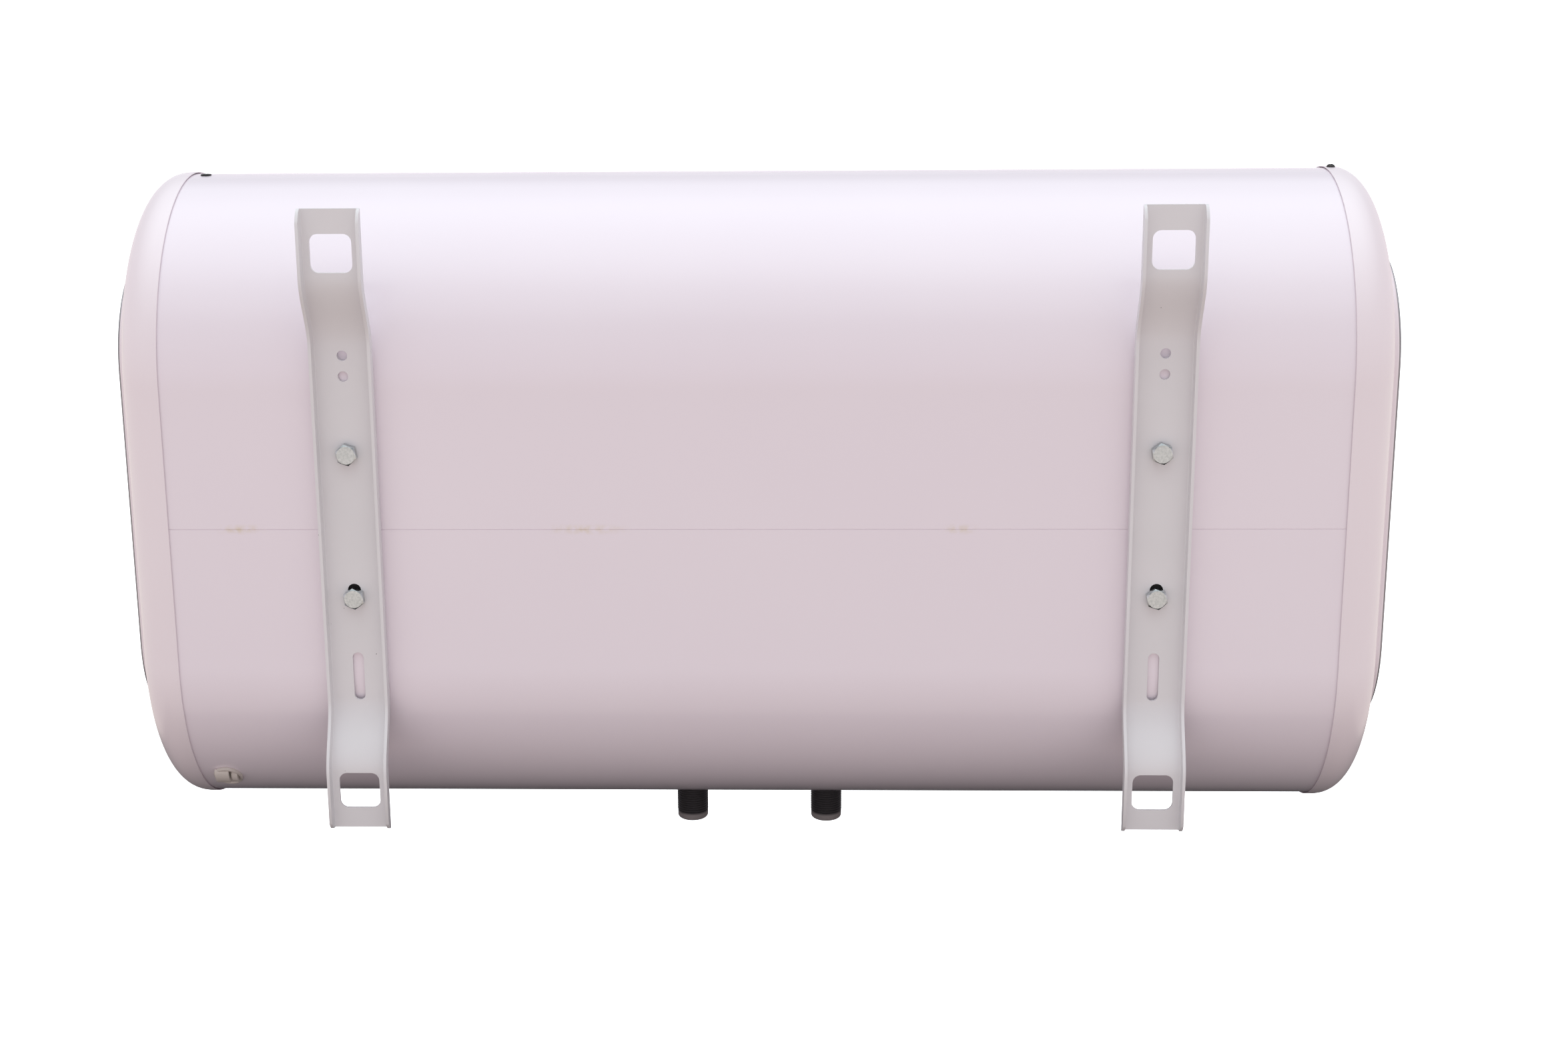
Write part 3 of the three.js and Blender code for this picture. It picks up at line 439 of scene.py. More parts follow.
def oval_shell(name, profile, side, material):
    """A closed shell whose rings are ovals, from a list of (radius, distance from the middle)."""
    shape = bmesh.new()
    rings = []
    for radius, x in profile:
        ring = []
        for lift, start in ((flat_half, 0), (-flat_half, math.pi)):
            for i in range(HALF_OVAL_STEPS + 1):
                angle = start + math.pi * i / HALF_OVAL_STEPS
                point = (side * x, axis_y + radius * math.cos(angle), lift + radius * math.sin(angle))
                ring.append(shape.verts.new(point))
        rings.append(ring)
    join_rings(shape, rings)
    shape.faces.new(rings[0])
    shape.faces.new(rings[-1])
    piece = from_bmesh(name, shape, material)
    piece.data.set_sharp_from_angle(angle=math.radians(35))
    return piece


def cap_along(inset, reach=CAP_REACH):
    """How far the rounding has come from the seam, where it is this far in from the skirt."""
    level = max(0, 1 - inset / CAP_ROUNDING)
    return CAP_BAND + (reach - CAP_BAND) * (1 - level**CAP_SQUARENESS) ** (1 / CAP_SQUARENESS)


def cap_profile():
    """The cap's wall, from its inside round the skirt's lip and out to the edge of the flat end."""
    inside = []
    for i in range(9):
        inset = (CAP_FLAT_INSET - 2 * MM) * (1 - i / 8) ** 2
        inside.append((cap_radius - CAP_WALL - inset, cap_along(inset, CAP_REACH - CAP_WALL)))
    skirt = casing_radius + FIT_GAP
    shelf = casing_high.x - seam_x + FIT_GAP
    profile = [point for point in inside if point[1] > shelf + 0.5 * MM]
    profile += [(cap_radius - CAP_WALL, shelf), (skirt, shelf), (skirt, 3 * LIP_RELIEF)]
    profile += [(skirt + LIP_RELIEF, 0), (cap_radius - LIP_ROUND, 0)]
    for i in range(1, 5):
        angle = math.pi / 2 * i / 4
        in_from_skirt = LIP_ROUND * (1 - math.sin(angle))
        profile.append((cap_radius - in_from_skirt, LIP_ROUND * (1 - math.cos(angle))))
    for i in range(ROUND_STEPS + 1):
        inset = (CAP_FLAT_INSET - GROOVE_ZONE) * (1 - math.cos(math.pi / 2 * i / ROUND_STEPS)) ** 1.3
        profile.append((cap_radius - inset, cap_along(inset)))
    fine_steps = round(GROOVE_ZONE / FINE_STEP)
    for i in range(1, fine_steps + 1):
        inset = CAP_FLAT_INSET - GROOVE_ZONE * (1 - i / fine_steps)
        off_groove = (CAP_FLAT_INSET - GROOVE_FROM_FLAT - inset) / GROOVE_WIDTH
        dip = GROOVE_DEPTH * math.exp(-(off_groove**2))
        profile.append((cap_radius - inset, cap_along(inset) - dip))
    return [(radius, seam_x + along) for radius, along in profile]


for side, sign in (("right", 1), ("left", -1)):
    cap = oval_shell(f"cap_{side}", cap_profile(), sign, abs_white)
    hand_over(cap, "heater", "cap_plastic", f"end_cap_{side}")

# ---------------------------------------------------------------- end panels and trims
# A separate flat panel of the same ABS is clipped on each cap's end, with a thin satin grey
# decorative plate on top of it.

PANEL_EDGE = 1.3 * MM
PANEL_LIFT = 0.15 * MM
TRIM_EDGE = 0.4 * MM
TRIM_INSET = 3.2 * MM

# Moulded plastic with a satin lacquer: an even grey, slightly metallic to the eye.
FLAKE = 0.5 * MM
satin_grey, tree, shader = start_material(
    "satin_lacquered_plastic", Roughness=0.34, IOR=1.5, Metallic=0.35
)
add_grain(tree, shader, FLAKE, 2.0, tones=("#8b888b", "#9b989b"))


def plate_profile(radius, start, end, edge):
    """A plate with a rounded outer edge."""
    profile = [(radius - 0.3 * MM, start), (radius, start + 0.3 * MM)]
    for i in range(7):
        angle = math.pi / 2 * i / 6
        profile.append((radius - edge * (1 - math.cos(angle)), end - edge * (1 - math.sin(angle))))
    return profile


for side, sign in (("right", 1), ("left", -1)):
    for kind, radius, edge, material, slot in (
        ("panel", cap_flat_radius - FIT_GAP, PANEL_EDGE, abs_white, "cap_plastic"),
        ("trim", cap_flat_radius - TRIM_INSET, TRIM_EDGE, satin_grey, "trim_grey"),
    ):
        low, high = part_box(f"end_{kind}_{side}")
        near, far = sorted((abs(low.x), abs(high.x)))
        if kind == "panel":
            # It stands on the cap's flat, which the rounding brings out almost to CAP_REACH.
            near = seam_x + cap_along(CAP_FLAT_INSET) + PANEL_LIFT
        plate = oval_shell(f"{kind}_{side}", plate_profile(radius, near, far, edge), sign, material)
        hand_over(plate, "heater", slot, f"end_{kind}_{side}")

# ---------------------------------------------------------------- hanging brackets
# Each is a strip of 2 mm steel, folded into a shallow channel whose flanges face the wall and
# joggled at both ends to stand off the casing's curve. It is punched and then powder coated.

BRACKET_SHEET = 2 * MM
BRACKET_DEPTH = 11 * MM
BEND = 3 * MM
END_DEPTH = BEND + 0.4 * MM
STEP = 18 * MM
STEP_RUN = 48 * MM
UPPER_STEP = 129 * MM
LOWER_STEP = -117 * MM
TAPER = {"top": 9 * MM, "bottom": 6 * MM}
WINDOW = (27.5 * MM, 25.3 * MM, 5.5 * MM)
WINDOW_HEIGHTS = (192 * MM, -178 * MM)
ROUND_HOLES = (121.5 * MM, 107.5 * MM)
# Each opening's width and height, and its corners' radius or its place up the bracket.
ROUND_HOLE = (7 * MM, 7 * MM, 3.499 * MM)
ADJUSTING_SLOT = (7.6 * MM, 34 * MM, -101.5 * MM)
BOLT_SLOT = (9 * MM, 14 * MM, -42.5 * MM)
BOLT_OPENING = (9 * MM, 9.01 * MM, 55 * MM)
# A full half circle would bring two corners together, so each stops this far short of it.
ARC_SHORT = 0.001 * MM
EDGE_BREAK = 0.3 * MM

bracket_low, bracket_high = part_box("hanging_bracket_right")
bracket_width = bracket_high.x - bracket_low.x

# Polyester powder coat, light grey: satin, with a fine pebbly skin about 1 mm across, a few dark
# specks of dirt caught in it, and broad, faint changes of tone.
PEBBLE = 1.1 * MM
PEBBLE_RELIEF = 0.015 * MM
COAT_DRIFT = 1 / 18
SPECK_CELL = 14 * MM
SPECK = 0.45 * MM
powder_coat, tree, shader = start_material("grey_powder_coat", Roughness=0.42, IOR=1.5)
add_grain(tree, shader, PEBBLE, 2.0, relief=PEBBLE_RELIEF)
tint = add_grain(tree, shader, COAT_DRIFT, 2.0, tones=("#e0dddf", "#e7e4e6"))
place = add_node(tree, "ShaderNodeTexCoord").outputs["Object"]
scatter = {"Vector": place, "Scale": 1 / SPECK_CELL, "Randomness": 1.0}
cells = add_node(tree, "ShaderNodeTexVoronoi", scatter)
specks = add_node(
    tree,
    "ShaderNodeMapRange",
    {
        "Value": cells.outputs["Distance"],
        "From Min": 0.6 * SPECK / SPECK_CELL,
        "From Max": SPECK / SPECK_CELL,
        "To Min": 0.8,
        "To Max": 0.0,
    },
)
coated = add_node(
    tree,
    "ShaderNodeMix",
    {"Factor_Float": specks, "A_Color": tint, "B_Color": linear("#4a4644")},
    data_type="RGBA",
)
tree.links.new(coated.outputs[2], shader.inputs["Base Color"])


def clamp01(value):
    return min(1, max(0, value))


def smooth_step(value):
    share = clamp01(value)
    return share * share * (3 - 2 * share)


def channel_section(depth):
    """The folded sheet's outline, as (x, y) from the middle of the web's casing side."""
    half = bracket_width / 2
    arc = [math.pi / 2 * i / 6 for i in range(7)]
    outer = [(half - BEND * (1 - math.sin(a)), BEND * (1 - math.cos(a))) for a in arc]
    tight = BEND - BRACKET_SHEET
    inner = [
        (half - BEND + tight * math.sin(a), BRACKET_SHEET + tight * (1 - math.cos(a))) for a in arc
    ]
    right = outer + [(half, depth), (half - BRACKET_SHEET, depth)] + inner[::-1]
    return right + [(-x, y) for x, y in reversed(right)]


def bracket_heights():
    heights = []
    for i in range(9):
        share = (i / 8) ** 2
        heights += [bracket_high.z - share * TAPER["top"], bracket_low.z + share * TAPER["bottom"]]
    for i in range(25):
        rise = STEP_RUN * i / 24
        heights += [UPPER_STEP + rise, LOWER_STEP - rise]
    return sorted(heights)


def bracket_blank(name, centre_x, web_y):
    """The folded and joggled channel, before it is punched."""
    shape = bmesh.new()
    rings = []
    for z in bracket_heights():
        above, below = (z - UPPER_STEP) / STEP_RUN, (LOWER_STEP - z) / STEP_RUN
        web = web_y + STEP * (smooth_step(above) + smooth_step(below))
        left_over = min((bracket_high.z - z) / TAPER["top"], (z - bracket_low.z) / TAPER["bottom"])
        depth = END_DEPTH + (BRACKET_DEPTH - END_DEPTH) * math.sqrt(clamp01(left_over))
        rings.append([shape.verts.new((centre_x + x, web + y, z)) for x, y in channel_section(depth)])
    join_rings(shape, rings)
    shape.faces.new(rings[0])
    shape.faces.new(rings[-1])
    return from_bmesh(name, shape, powder_coat)


def rounded_outline(width, height, radius, steps=8):
    """A rounded rectangle's outline about the origin, as (x, z)."""
    corners = ((1, 1, 0), (-1, 1, 1), (-1, -1, 2), (1, -1, 3))
    return [
        (
            right * (width / 2 - radius) + radius * math.cos(math.pi / 2 * (quarter + i / steps)),
            up * (height / 2 - radius) + radius * math.sin(math.pi / 2 * (quarter + i / steps)),
        )
        for right, up, quarter in corners
        for i in range(steps + 1)
    ]


def extrude(shape, corners, along):
    """A prism that starts at a face with these corners."""
    face = shape.faces.new([shape.verts.new(corner) for corner in corners])
    made = bmesh.ops.extrude_face_region(shape, geom=[face])
    moved = [v for v in made["geom"] if isinstance(v, bmesh.types.BMVert)]
    bmesh.ops.translate(shape, verts=moved, vec=along)


def add_prism(shape, outline, start, depth, centre_x=0, centre_z=0):
    """A prism along Y with this outline in X and Z."""
    extrude(shape, [(centre_x + x, start, centre_z + z) for x, z in outline], (0, depth, 0))


def break_edges(piece, width, segments=2, angle=40):
    bevel = piece.modifiers.new("bevel", "BEVEL")
    bevel.width = width
    bevel.segments = segments
    bevel.limit_method = "ANGLE"
    bevel.angle_limit = math.radians(angle)
    bevel.harden_normals = True
    return keep_result(piece)


for side in ("right", "left"):
    low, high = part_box(f"hanging_bracket_{side}")
    centre_x = (low.x + high.x) / 2
    bracket = bracket_blank(f"bracket_{side}", centre_x, low.y)
    punches = bmesh.new()
    start, reach = low.y - 5 * MM, 50 * MM
    for z in WINDOW_HEIGHTS:
        add_prism(punches, rounded_outline(*WINDOW), start, reach, centre_x, z)
    for z in ROUND_HOLES:
        add_prism(punches, rounded_outline(*ROUND_HOLE), start, CUT_LENGTH, centre_x, z)
    for width, length, z in (ADJUSTING_SLOT, BOLT_SLOT, BOLT_OPENING):
        outline = rounded_outline(width, length, width / 2 - ARC_SHORT)
        add_prism(punches, outline, start, CUT_LENGTH, centre_x, z)
    cut_out(bracket, punches)
    bracket.data.set_sharp_from_angle(angle=math.radians(35))
    break_edges(bracket, EDGE_BREAK)
    hand_over(bracket, "heater", "bracket_coat", f"hanging_bracket_{side}")

# ---------------------------------------------------------------- bracket bolts
# M8 hexagon bolts, 13 mm across the flats and 5.3 mm high, forged with a chamfered top and
# plated with bright zinc. They hold the brackets to bosses inside the casing.

ACROSS_FLATS = 13 * MM
HEAD_HEIGHT = 5.3 * MM
CHAMFER_TOP = 6.1 * MM
CHAMFER_FOOT = 15 * MM
SHANK = 4 * MM
SHANK_LENGTH = 22 * MM
TURN_SEED = 3

# Bright zinc plate over a forged head: a clean mirror, roughened by fine scale and handling.
SCALE_GRAIN = 1.4 * MM
SCALE_RELIEF = 0.03 * MM
zinc, tree, shader = start_material("bright_zinc_plate", Metallic=1.0)
add_grain(tree, shader, SCALE_GRAIN, 3.0, ("#9fa6a8", "#e0e4e5"), SCALE_RELIEF, (0.08, 0.3))

tree, sizes = start_tree(
    "hexagon_bolts",
    ["Across Flats", "Head Height", "Chamfer Top", "Chamfer Foot", "Shank Radius", "Shank Length"],
    ["Seed"],
)
across = {"Value": sizes["Across Flats"], "Value_001": math.sqrt(3)}
corner_radius = add_node(tree, "ShaderNodeMath", across, operation="DIVIDE")
hexagon = add_node(
    tree,
    "GeometryNodeMeshCylinder",
    {"Vertices": 6, "Radius": corner_radius, "Depth": sizes["Head Height"]},
)
halved = {"Value": sizes["Head Height"], "Value_001": 2.0}
half_head = add_node(tree, "ShaderNodeMath", halved, operation="DIVIDE")
half_up = add_node(tree, "ShaderNodeCombineXYZ", {"Z": half_head})
head_blank = add_node(tree, "GeometryNodeTransform", {"Geometry": hexagon, "Translation": half_up})
chamfer = {
    "Vertices": 48,
    "Radius Top": sizes["Chamfer Top"],
    "Radius Bottom": sizes["Chamfer Foot"],
    "Depth": sizes["Head Height"],
}
cone = add_node(tree, "GeometryNodeMeshCone", chamfer)
head = add_node(
    tree, "GeometryNodeMeshBoolean", {"Mesh 2": [head_blank, cone]}, operation="INTERSECT", solver="EXACT"
)
shank = add_node(
    tree,
    "GeometryNodeMeshCylinder",
    {"Vertices": 32, "Radius": sizes["Shank Radius"], "Depth": sizes["Shank Length"]},
)
halved = {"Value": sizes["Shank Length"], "Value_001": -2.0}
half_shank = add_node(tree, "ShaderNodeMath", halved, operation="DIVIDE")
# The shank's end reaches this far into the head, so that the two join.
SHANK_OVERLAP = 1 * MM
sunk = {"Value": half_shank, "Value_001": SHANK_OVERLAP}
shank_end = add_node(tree, "ShaderNodeMath", sunk, operation="ADD")
down = add_node(tree, "ShaderNodeCombineXYZ", {"Z": shank_end})
shank_place = add_node(tree, "GeometryNodeTransform", {"Geometry": shank, "Translation": down})
bolt = add_node(
    tree, "GeometryNodeMeshBoolean", {"Mesh 2": [head, shank_place]}, operation="UNION", solver="EXACT"
)
# Each bolt was left at its own angle when it was tightened.
turn = add_node(
    tree,
    "FunctionNodeRandomValue",
    {"Min_001": math.radians(16), "Max_001": math.radians(44), "Seed": sizes["Seed"]},
    data_type="FLOAT",
)
facing = add_node(tree, "FunctionNodeEulerToRotation", {"Euler": (-math.pi / 2, 0, 0)})
spun = add_node(tree, "ShaderNodeCombineXYZ", {"Z": turn.outputs[1]})
spin = add_node(tree, "FunctionNodeEulerToRotation", {"Euler": spun})
pointed = add_node(
    tree, "FunctionNodeRotateRotation", {"Rotation": facing, "Rotate By": spin}, rotation_space="LOCAL"
)
finish_tree(tree, sizes["Places"], bolt, zinc, pointed)
bolt_nodes = [
    f"bracket_bolt_{side}_{level}" for side in ("right", "left") for level in ("upper", "lower")
]
seats = [(middle(n).x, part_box(n)[1].y - HEAD_HEIGHT, middle(n).z) for n in bolt_nodes]
bolt_sizes = {
    "Across Flats": ACROSS_FLATS,
    "Head Height": HEAD_HEIGHT,
    "Chamfer Top": CHAMFER_TOP,
    "Chamfer Foot": CHAMFER_FOOT,
    "Shank Radius": SHANK,
    "Shank Length": SHANK_LENGTH,
    "Seed": TURN_SEED,
}
bolts = make_by_nodes("bracket_bolts", tree, seats, bolt_sizes)
break_edges(bolts, 0.22 * MM, angle=20)
hand_over(bolts, "heater", "zinc", *bolt_nodes)

# ---------------------------------------------------------------- thread protectors
# A ribbed black plastic cap covers the thread of each pipe end until the heater is plumbed in.
# Its closed end has a smooth, rounded lip.

RIB_PITCH = 1.8 * MM
RIB_HEIGHT = 0.22 * MM
LIP_HEIGHT = 5.6 * MM
END_ROUND = 2.4 * MM
PROTECTOR_FLOOR = 2.2 * MM
PROTECTOR_BORE = 10.8 * MM

# Black polyethylene, moulded with a dull skin, dusty, and paler over its last few millimetres at the
# closed end.
DUST_GRAIN = 2 * MM
lip_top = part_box("hot_outlet_thread_protector")[0].z + LIP_HEIGHT
black_plastic, tree, shader = start_material("black_polyethylene", IOR=1.5)
dusty = add_grain(tree, shader, DUST_GRAIN, 4.0, ("#1e1c1d", "#343032"), roughness=(0.42, 0.65))
place = add_node(tree, "ShaderNodeTexCoord").outputs["Object"]
axes = add_node(tree, "ShaderNodeSeparateXYZ", {"Vector": place}).outputs
on_lip = add_node(
    tree,
    "ShaderNodeMapRange",
    {
        "Value": axes["Z"],
        "From Min": lip_top - 1.2 * MM,
        "From Max": lip_top + 0.6 * MM,
        "To Min": 1.0,
        "To Max": 0.0,
    },
)
pale_end = add_node(
    tree,
    "ShaderNodeMix",
    {"Factor_Float": on_lip, "A_Color": dusty, "B_Color": linear("#9b9391")},
    data_type="RGBA",
)
tree.links.new(pale_end.outputs[2], shader.inputs["Base Color"])

tree, sizes = start_tree(
    "ribbed_cap",
    ["Radius", "Height", "Rib Pitch", "Rib Height", "Lip Height", "End Round", "Bore", "Floor"],
    ["Sides", "Rows"],
)


def calculate(operation, first, second=0.0):
    """One step of arithmetic in the tree that is being built."""
    inputs = {"Value": first, "Value_001": second}
    return add_node(tree, "ShaderNodeMath", inputs, operation=operation).outputs[0]


blank_sizes = {
    "Vertices": sizes["Sides"],
    "Side Segments": sizes["Rows"],
    "Radius": sizes["Radius"],
    "Depth": sizes["Height"],
}
blank = add_node(tree, "GeometryNodeMeshCylinder", blank_sizes)
half_height = calculate("DIVIDE", sizes["Height"], 2.0)
raise_by = add_node(tree, "ShaderNodeCombineXYZ", {"Z": half_height})
standing = add_node(tree, "GeometryNodeTransform", {"Geometry": blank, "Translation": raise_by})
position = add_node(tree, "GeometryNodeInputPosition")
where = add_node(tree, "ShaderNodeSeparateXYZ", {"Vector": position}).outputs
height_up = where["Z"]
turns = calculate("MULTIPLY", calculate("DIVIDE", height_up, sizes["Rib Pitch"]), 2 * math.pi)
wave = calculate("MULTIPLY", calculate("COSINE", turns), sizes["Rib Height"])
ribbed = calculate("MULTIPLY", wave, calculate("GREATER_THAN", height_up, sizes["Lip Height"]))
below_round = calculate("MAXIMUM", calculate("SUBTRACT", sizes["End Round"], height_up), 0.0)
chord = calculate(
    "SUBTRACT", calculate("POWER", sizes["End Round"], 2.0), calculate("POWER", below_round, 2.0)
)
drawn_in = calculate("SUBTRACT", sizes["End Round"], calculate("SQRT", calculate("MAXIMUM", chord, 0.0)))
grown = calculate("SUBTRACT", ribbed, drawn_in)
factor = calculate("ADD", calculate("DIVIDE", grown, sizes["Radius"]), 1.0)
narrowed = {axis: calculate("MULTIPLY", where[axis], factor) for axis in ("X", "Y")}
moved = add_node(tree, "ShaderNodeCombineXYZ", {**narrowed, "Z": height_up})
ribbed_body = add_node(tree, "GeometryNodeSetPosition", {"Geometry": standing, "Position": moved})
bore_sizes = {"Vertices": sizes["Sides"], "Radius": sizes["Bore"], "Depth": sizes["Height"]}
bore = add_node(tree, "GeometryNodeMeshCylinder", bore_sizes)
bore_middle = calculate("ADD", half_height, sizes["Floor"])
bore_up = add_node(tree, "ShaderNodeCombineXYZ", {"Z": bore_middle})
bore_place = add_node(tree, "GeometryNodeTransform", {"Geometry": bore, "Translation": bore_up})
cup = add_node(
    tree,
    "GeometryNodeMeshBoolean",
    {"Mesh 1": ribbed_body, "Mesh 2": bore_place},
    operation="DIFFERENCE",
    solver="EXACT",
)
smooth_cup = add_node(tree, "GeometryNodeSetShadeSmooth", {"Geometry": cup})
finish_tree(tree, sizes["Places"], smooth_cup, black_plastic)
for pipe, end in (("hot", "outlet"), ("cold", "inlet")):
    node = f"{pipe}_{end}_thread_protector"
    low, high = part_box(node)
    protector = make_by_nodes(
        f"{pipe}_protector",
        tree,
        [(middle(node).x, axis_y, low.z)],
        {
            "Radius": (high.x - low.x) / 2 - RIB_HEIGHT,
            "Height": high.z - low.z,
            "Rib Pitch": RIB_PITCH,
            "Rib Height": RIB_HEIGHT,
            "Lip Height": LIP_HEIGHT,
            "End Round": END_ROUND,
            "Bore": PROTECTOR_BORE,
            "Floor": PROTECTOR_FLOOR,
            "Sides": 72,
            "Rows": 110,
        },
    )
    protector.data.set_sharp_from_angle(angle=math.radians(50))
    hand_over(protector, f"{pipe}_protector", "black_plastic", node)

# ---------------------------------------------------------------- pipe seals and hole collars
# A black rubber ring fills the gap between each pipe and the casing. The edge of the casing's
# hole is pressed out into a short, flared collar, which is painted with the casing.

# Black rubber with a bloom of talc: matt, and paler in patches of a millimetre or two.
TALC_GRAIN = 1.5 * MM
black_rubber, tree, shader = start_material("black_rubber", Roughness=0.7, IOR=1.5)
add_grain(tree, shader, TALC_GRAIN, 3.0, tones=("#0e0d0e", "#1d1b1c"))


def turned(name, profile, to_place, material, sides=64, sharp=35):
    """A piece turned on a lathe, from a closed or on-axis list of (radius, height)."""
    shape = bmesh.new()
    turns = [2 * math.pi * i / sides for i in range(sides)]
    rings = []
    for radius, height in profile:
        if radius == 0:
            rings.append([shape.verts.new((0, 0, height))] * sides)
        else:
            points = [(radius * math.cos(a), radius * math.sin(a), height) for a in turns]
            rings.append([shape.verts.new(point) for point in points])
    join_rings(shape, rings)
    bmesh.ops.transform(shape, matrix=to_place, verts=shape.verts)
    piece = from_bmesh(name, shape, material)
    piece.data.set_sharp_from_angle(angle=math.radians(sharp))
    return piece


def round_corner(centre_radius, centre_height, radius, start, end, steps=5):
    """Points round a corner of a turned profile, with its angles in degrees."""
    angles = [math.radians(start + (end - start) * i / steps) for i in range(steps + 1)]
    return [
        (centre_radius + radius * math.cos(a), centre_height + radius * math.sin(a)) for a in angles
    ]


COLLAR_DROP = 2.2 * MM
COLLAR_FLARE = 1.6 * MM
COLLAR_WALL = 0.7 * MM
COLLAR_TOP = 0.4 * MM
NIPPLE_RADIUS = 10.5 * MM
SEAL_BORE = NIPPLE_RADIUS + 0.3 * MM
SEAL_ROUND = (12.6 * MM, 0.8 * MM)
SEAL_EDGE = 13.4 * MM
SEAL_TOP = 3 * MM
SEAL_DROP = 1.2 * MM
flare_middle = (PIPE_HOLE + COLLAR_FLARE, -COLLAR_DROP + COLLAR_FLARE)
for pipe, end in (("hot", "outlet"), ("cold", "inlet")):
    seal_node = f"{pipe}_{end}_seal"
    nipple_x = middle(seal_node).x
    at_hole = Matrix.Translation((nipple_x, axis_y, casing_bottom))
    seal_profile = [(SEAL_BORE, SEAL_TOP), (SEAL_BORE, -SEAL_DROP)]
    seal_profile += round_corner(SEAL_ROUND[0], -SEAL_DROP, SEAL_ROUND[1], -90, 0)
    seal_profile += [(SEAL_EDGE, SEAL_TOP), (SEAL_BORE, SEAL_TOP)]
    seal = turned(f"{pipe}_seal", seal_profile, at_hole, black_rubber)
    hand_over(seal, "heater", "black_rubber", seal_node)
    inside = round_corner(*flare_middle, COLLAR_FLARE, 180, 255)
    outside = round_corner(*flare_middle, COLLAR_FLARE - COLLAR_WALL, 255, 180)
    collar_top = [(PIPE_HOLE + COLLAR_WALL, COLLAR_TOP), (PIPE_HOLE, COLLAR_TOP)]
    collar = turned(f"{pipe}_hole_collar", inside + outside + collar_top + inside[:1], at_hole, enamel)
    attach(collar, "heater")

# A thin black disc between the casing and the bracket at each lower bolt is painted shade: it stands for
# the shade in the bolt's hole, and shows as a dark crescent above the bolt's head, through the slot.
SHADE_DISC = (4.4 * MM, 9.6 * MM)
SHADE_DISC_FACES = (0.05 * MM, 0.25 * MM)
for side in ("right", "left"):
    lower_bolt = middle(f"bracket_bolt_{side}_lower")
    at_bolt = Matrix.Translation((lower_bolt.x, back_y, lower_bolt.z)) @ Matrix.Rotation(
        -math.pi / 2, 4, "X"
    )
    corners = [(radius, SHADE_DISC_FACES[0]) for radius in SHADE_DISC]
    corners += [(radius, SHADE_DISC_FACES[1]) for radius in reversed(SHADE_DISC)]
    shade_disc = turned(f"bolt_shade_disc_{side}", corners + corners[:1], at_bolt, black_rubber)
    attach(shade_disc, "heater")

# ---------------------------------------------------------------- cord gland
# The strain relief on the lower rear curve, moulded in warm grey nylon: an oval rim, an arched
# saddle that would press on the cord, and a wedge beside it. The cord itself isn't fitted.

# Spark-eroded nylon: satin, with a fine even grain under a millimetre across.
SPARK_GRAIN = 0.8 * MM
SPARK_RELIEF = 0.02 * MM
warm_nylon, tree, shader = start_material("warm_grey_nylon", Roughness=0.4, IOR=1.53)
add_grain(tree, shader, SPARK_GRAIN, 3.0, ("#cfc5be", "#dcd3cc"), SPARK_RELIEF)

RIM_OUTER = 10.1 * MM
RIM_INNER = 8.2 * MM
RIM_HEIGHT = 2 * MM
RIM_DEPTH = 3 * MM
INNER_ROUND = 0.7 * MM
OUTER_ROUND = 1.1 * MM
STRETCH = Matrix.Diagonal((1, GLAND_HOLE[1] / GLAND_HOLE[0], 1, 1))
rim_profile = [(RIM_INNER, -RIM_DEPTH), (RIM_INNER, RIM_HEIGHT - INNER_ROUND)]
rim_profile += round_corner(RIM_INNER + INNER_ROUND, RIM_HEIGHT - INNER_ROUND, INNER_ROUND, 180, 90)
rim_profile += round_corner(RIM_OUTER - OUTER_ROUND, RIM_HEIGHT - OUTER_ROUND, OUTER_ROUND, 90, 0)
rim_profile += [(RIM_OUTER, 0), (RIM_INNER + 0.1 * MM, -RIM_DEPTH), (RIM_INNER, -RIM_DEPTH)]
rim = turned("gland_rim", rim_profile, to_gland @ STRETCH, warm_nylon)
hand_over(rim, "heater", "gland_plastic", "cord_gland_rim")

SADDLE_WIDTH = 10.2 * MM
SADDLE_X = 2.7 * MM
SADDLE_MIDDLE = (1.6 * MM, -0.6 * MM)
SADDLE_REACH = 9.4 * MM
WEDGE_WIDTH = 4.4 * MM
WEDGE_X = -5.4 * MM
WEDGE_ARC = (7.4 * MM, 5.4 * MM)
WEDGE_SUNK = -1 * MM
JAW_WALL = 1.8 * MM
ARCH = 6.1 * MM
WEB = ((-8.6 * MM, -2.6 * MM), (8.6 * MM, -2.6 * MM), (0, 0.8 * MM), (-8.6 * MM, 0.8 * MM))
WEB_WIDTH = 11 * MM


def add_strip(shape, outline, width, centre_x):
    """A prism along the gland's x, with this outline in its y and z."""
    extrude(shape, [(centre_x - width / 2, y, z) for y, z in outline], (width, 0, 0))


def saddle_line(reach, arch):
    """An arc of the saddle, from its foot at the rim up and over the opening."""
    angles = [math.radians(172 - 104 * i / 10) for i in range(11)]
    y, z = SADDLE_MIDDLE
    return [(y - reach * math.cos(a), z + arch * math.sin(a)) for a in angles]


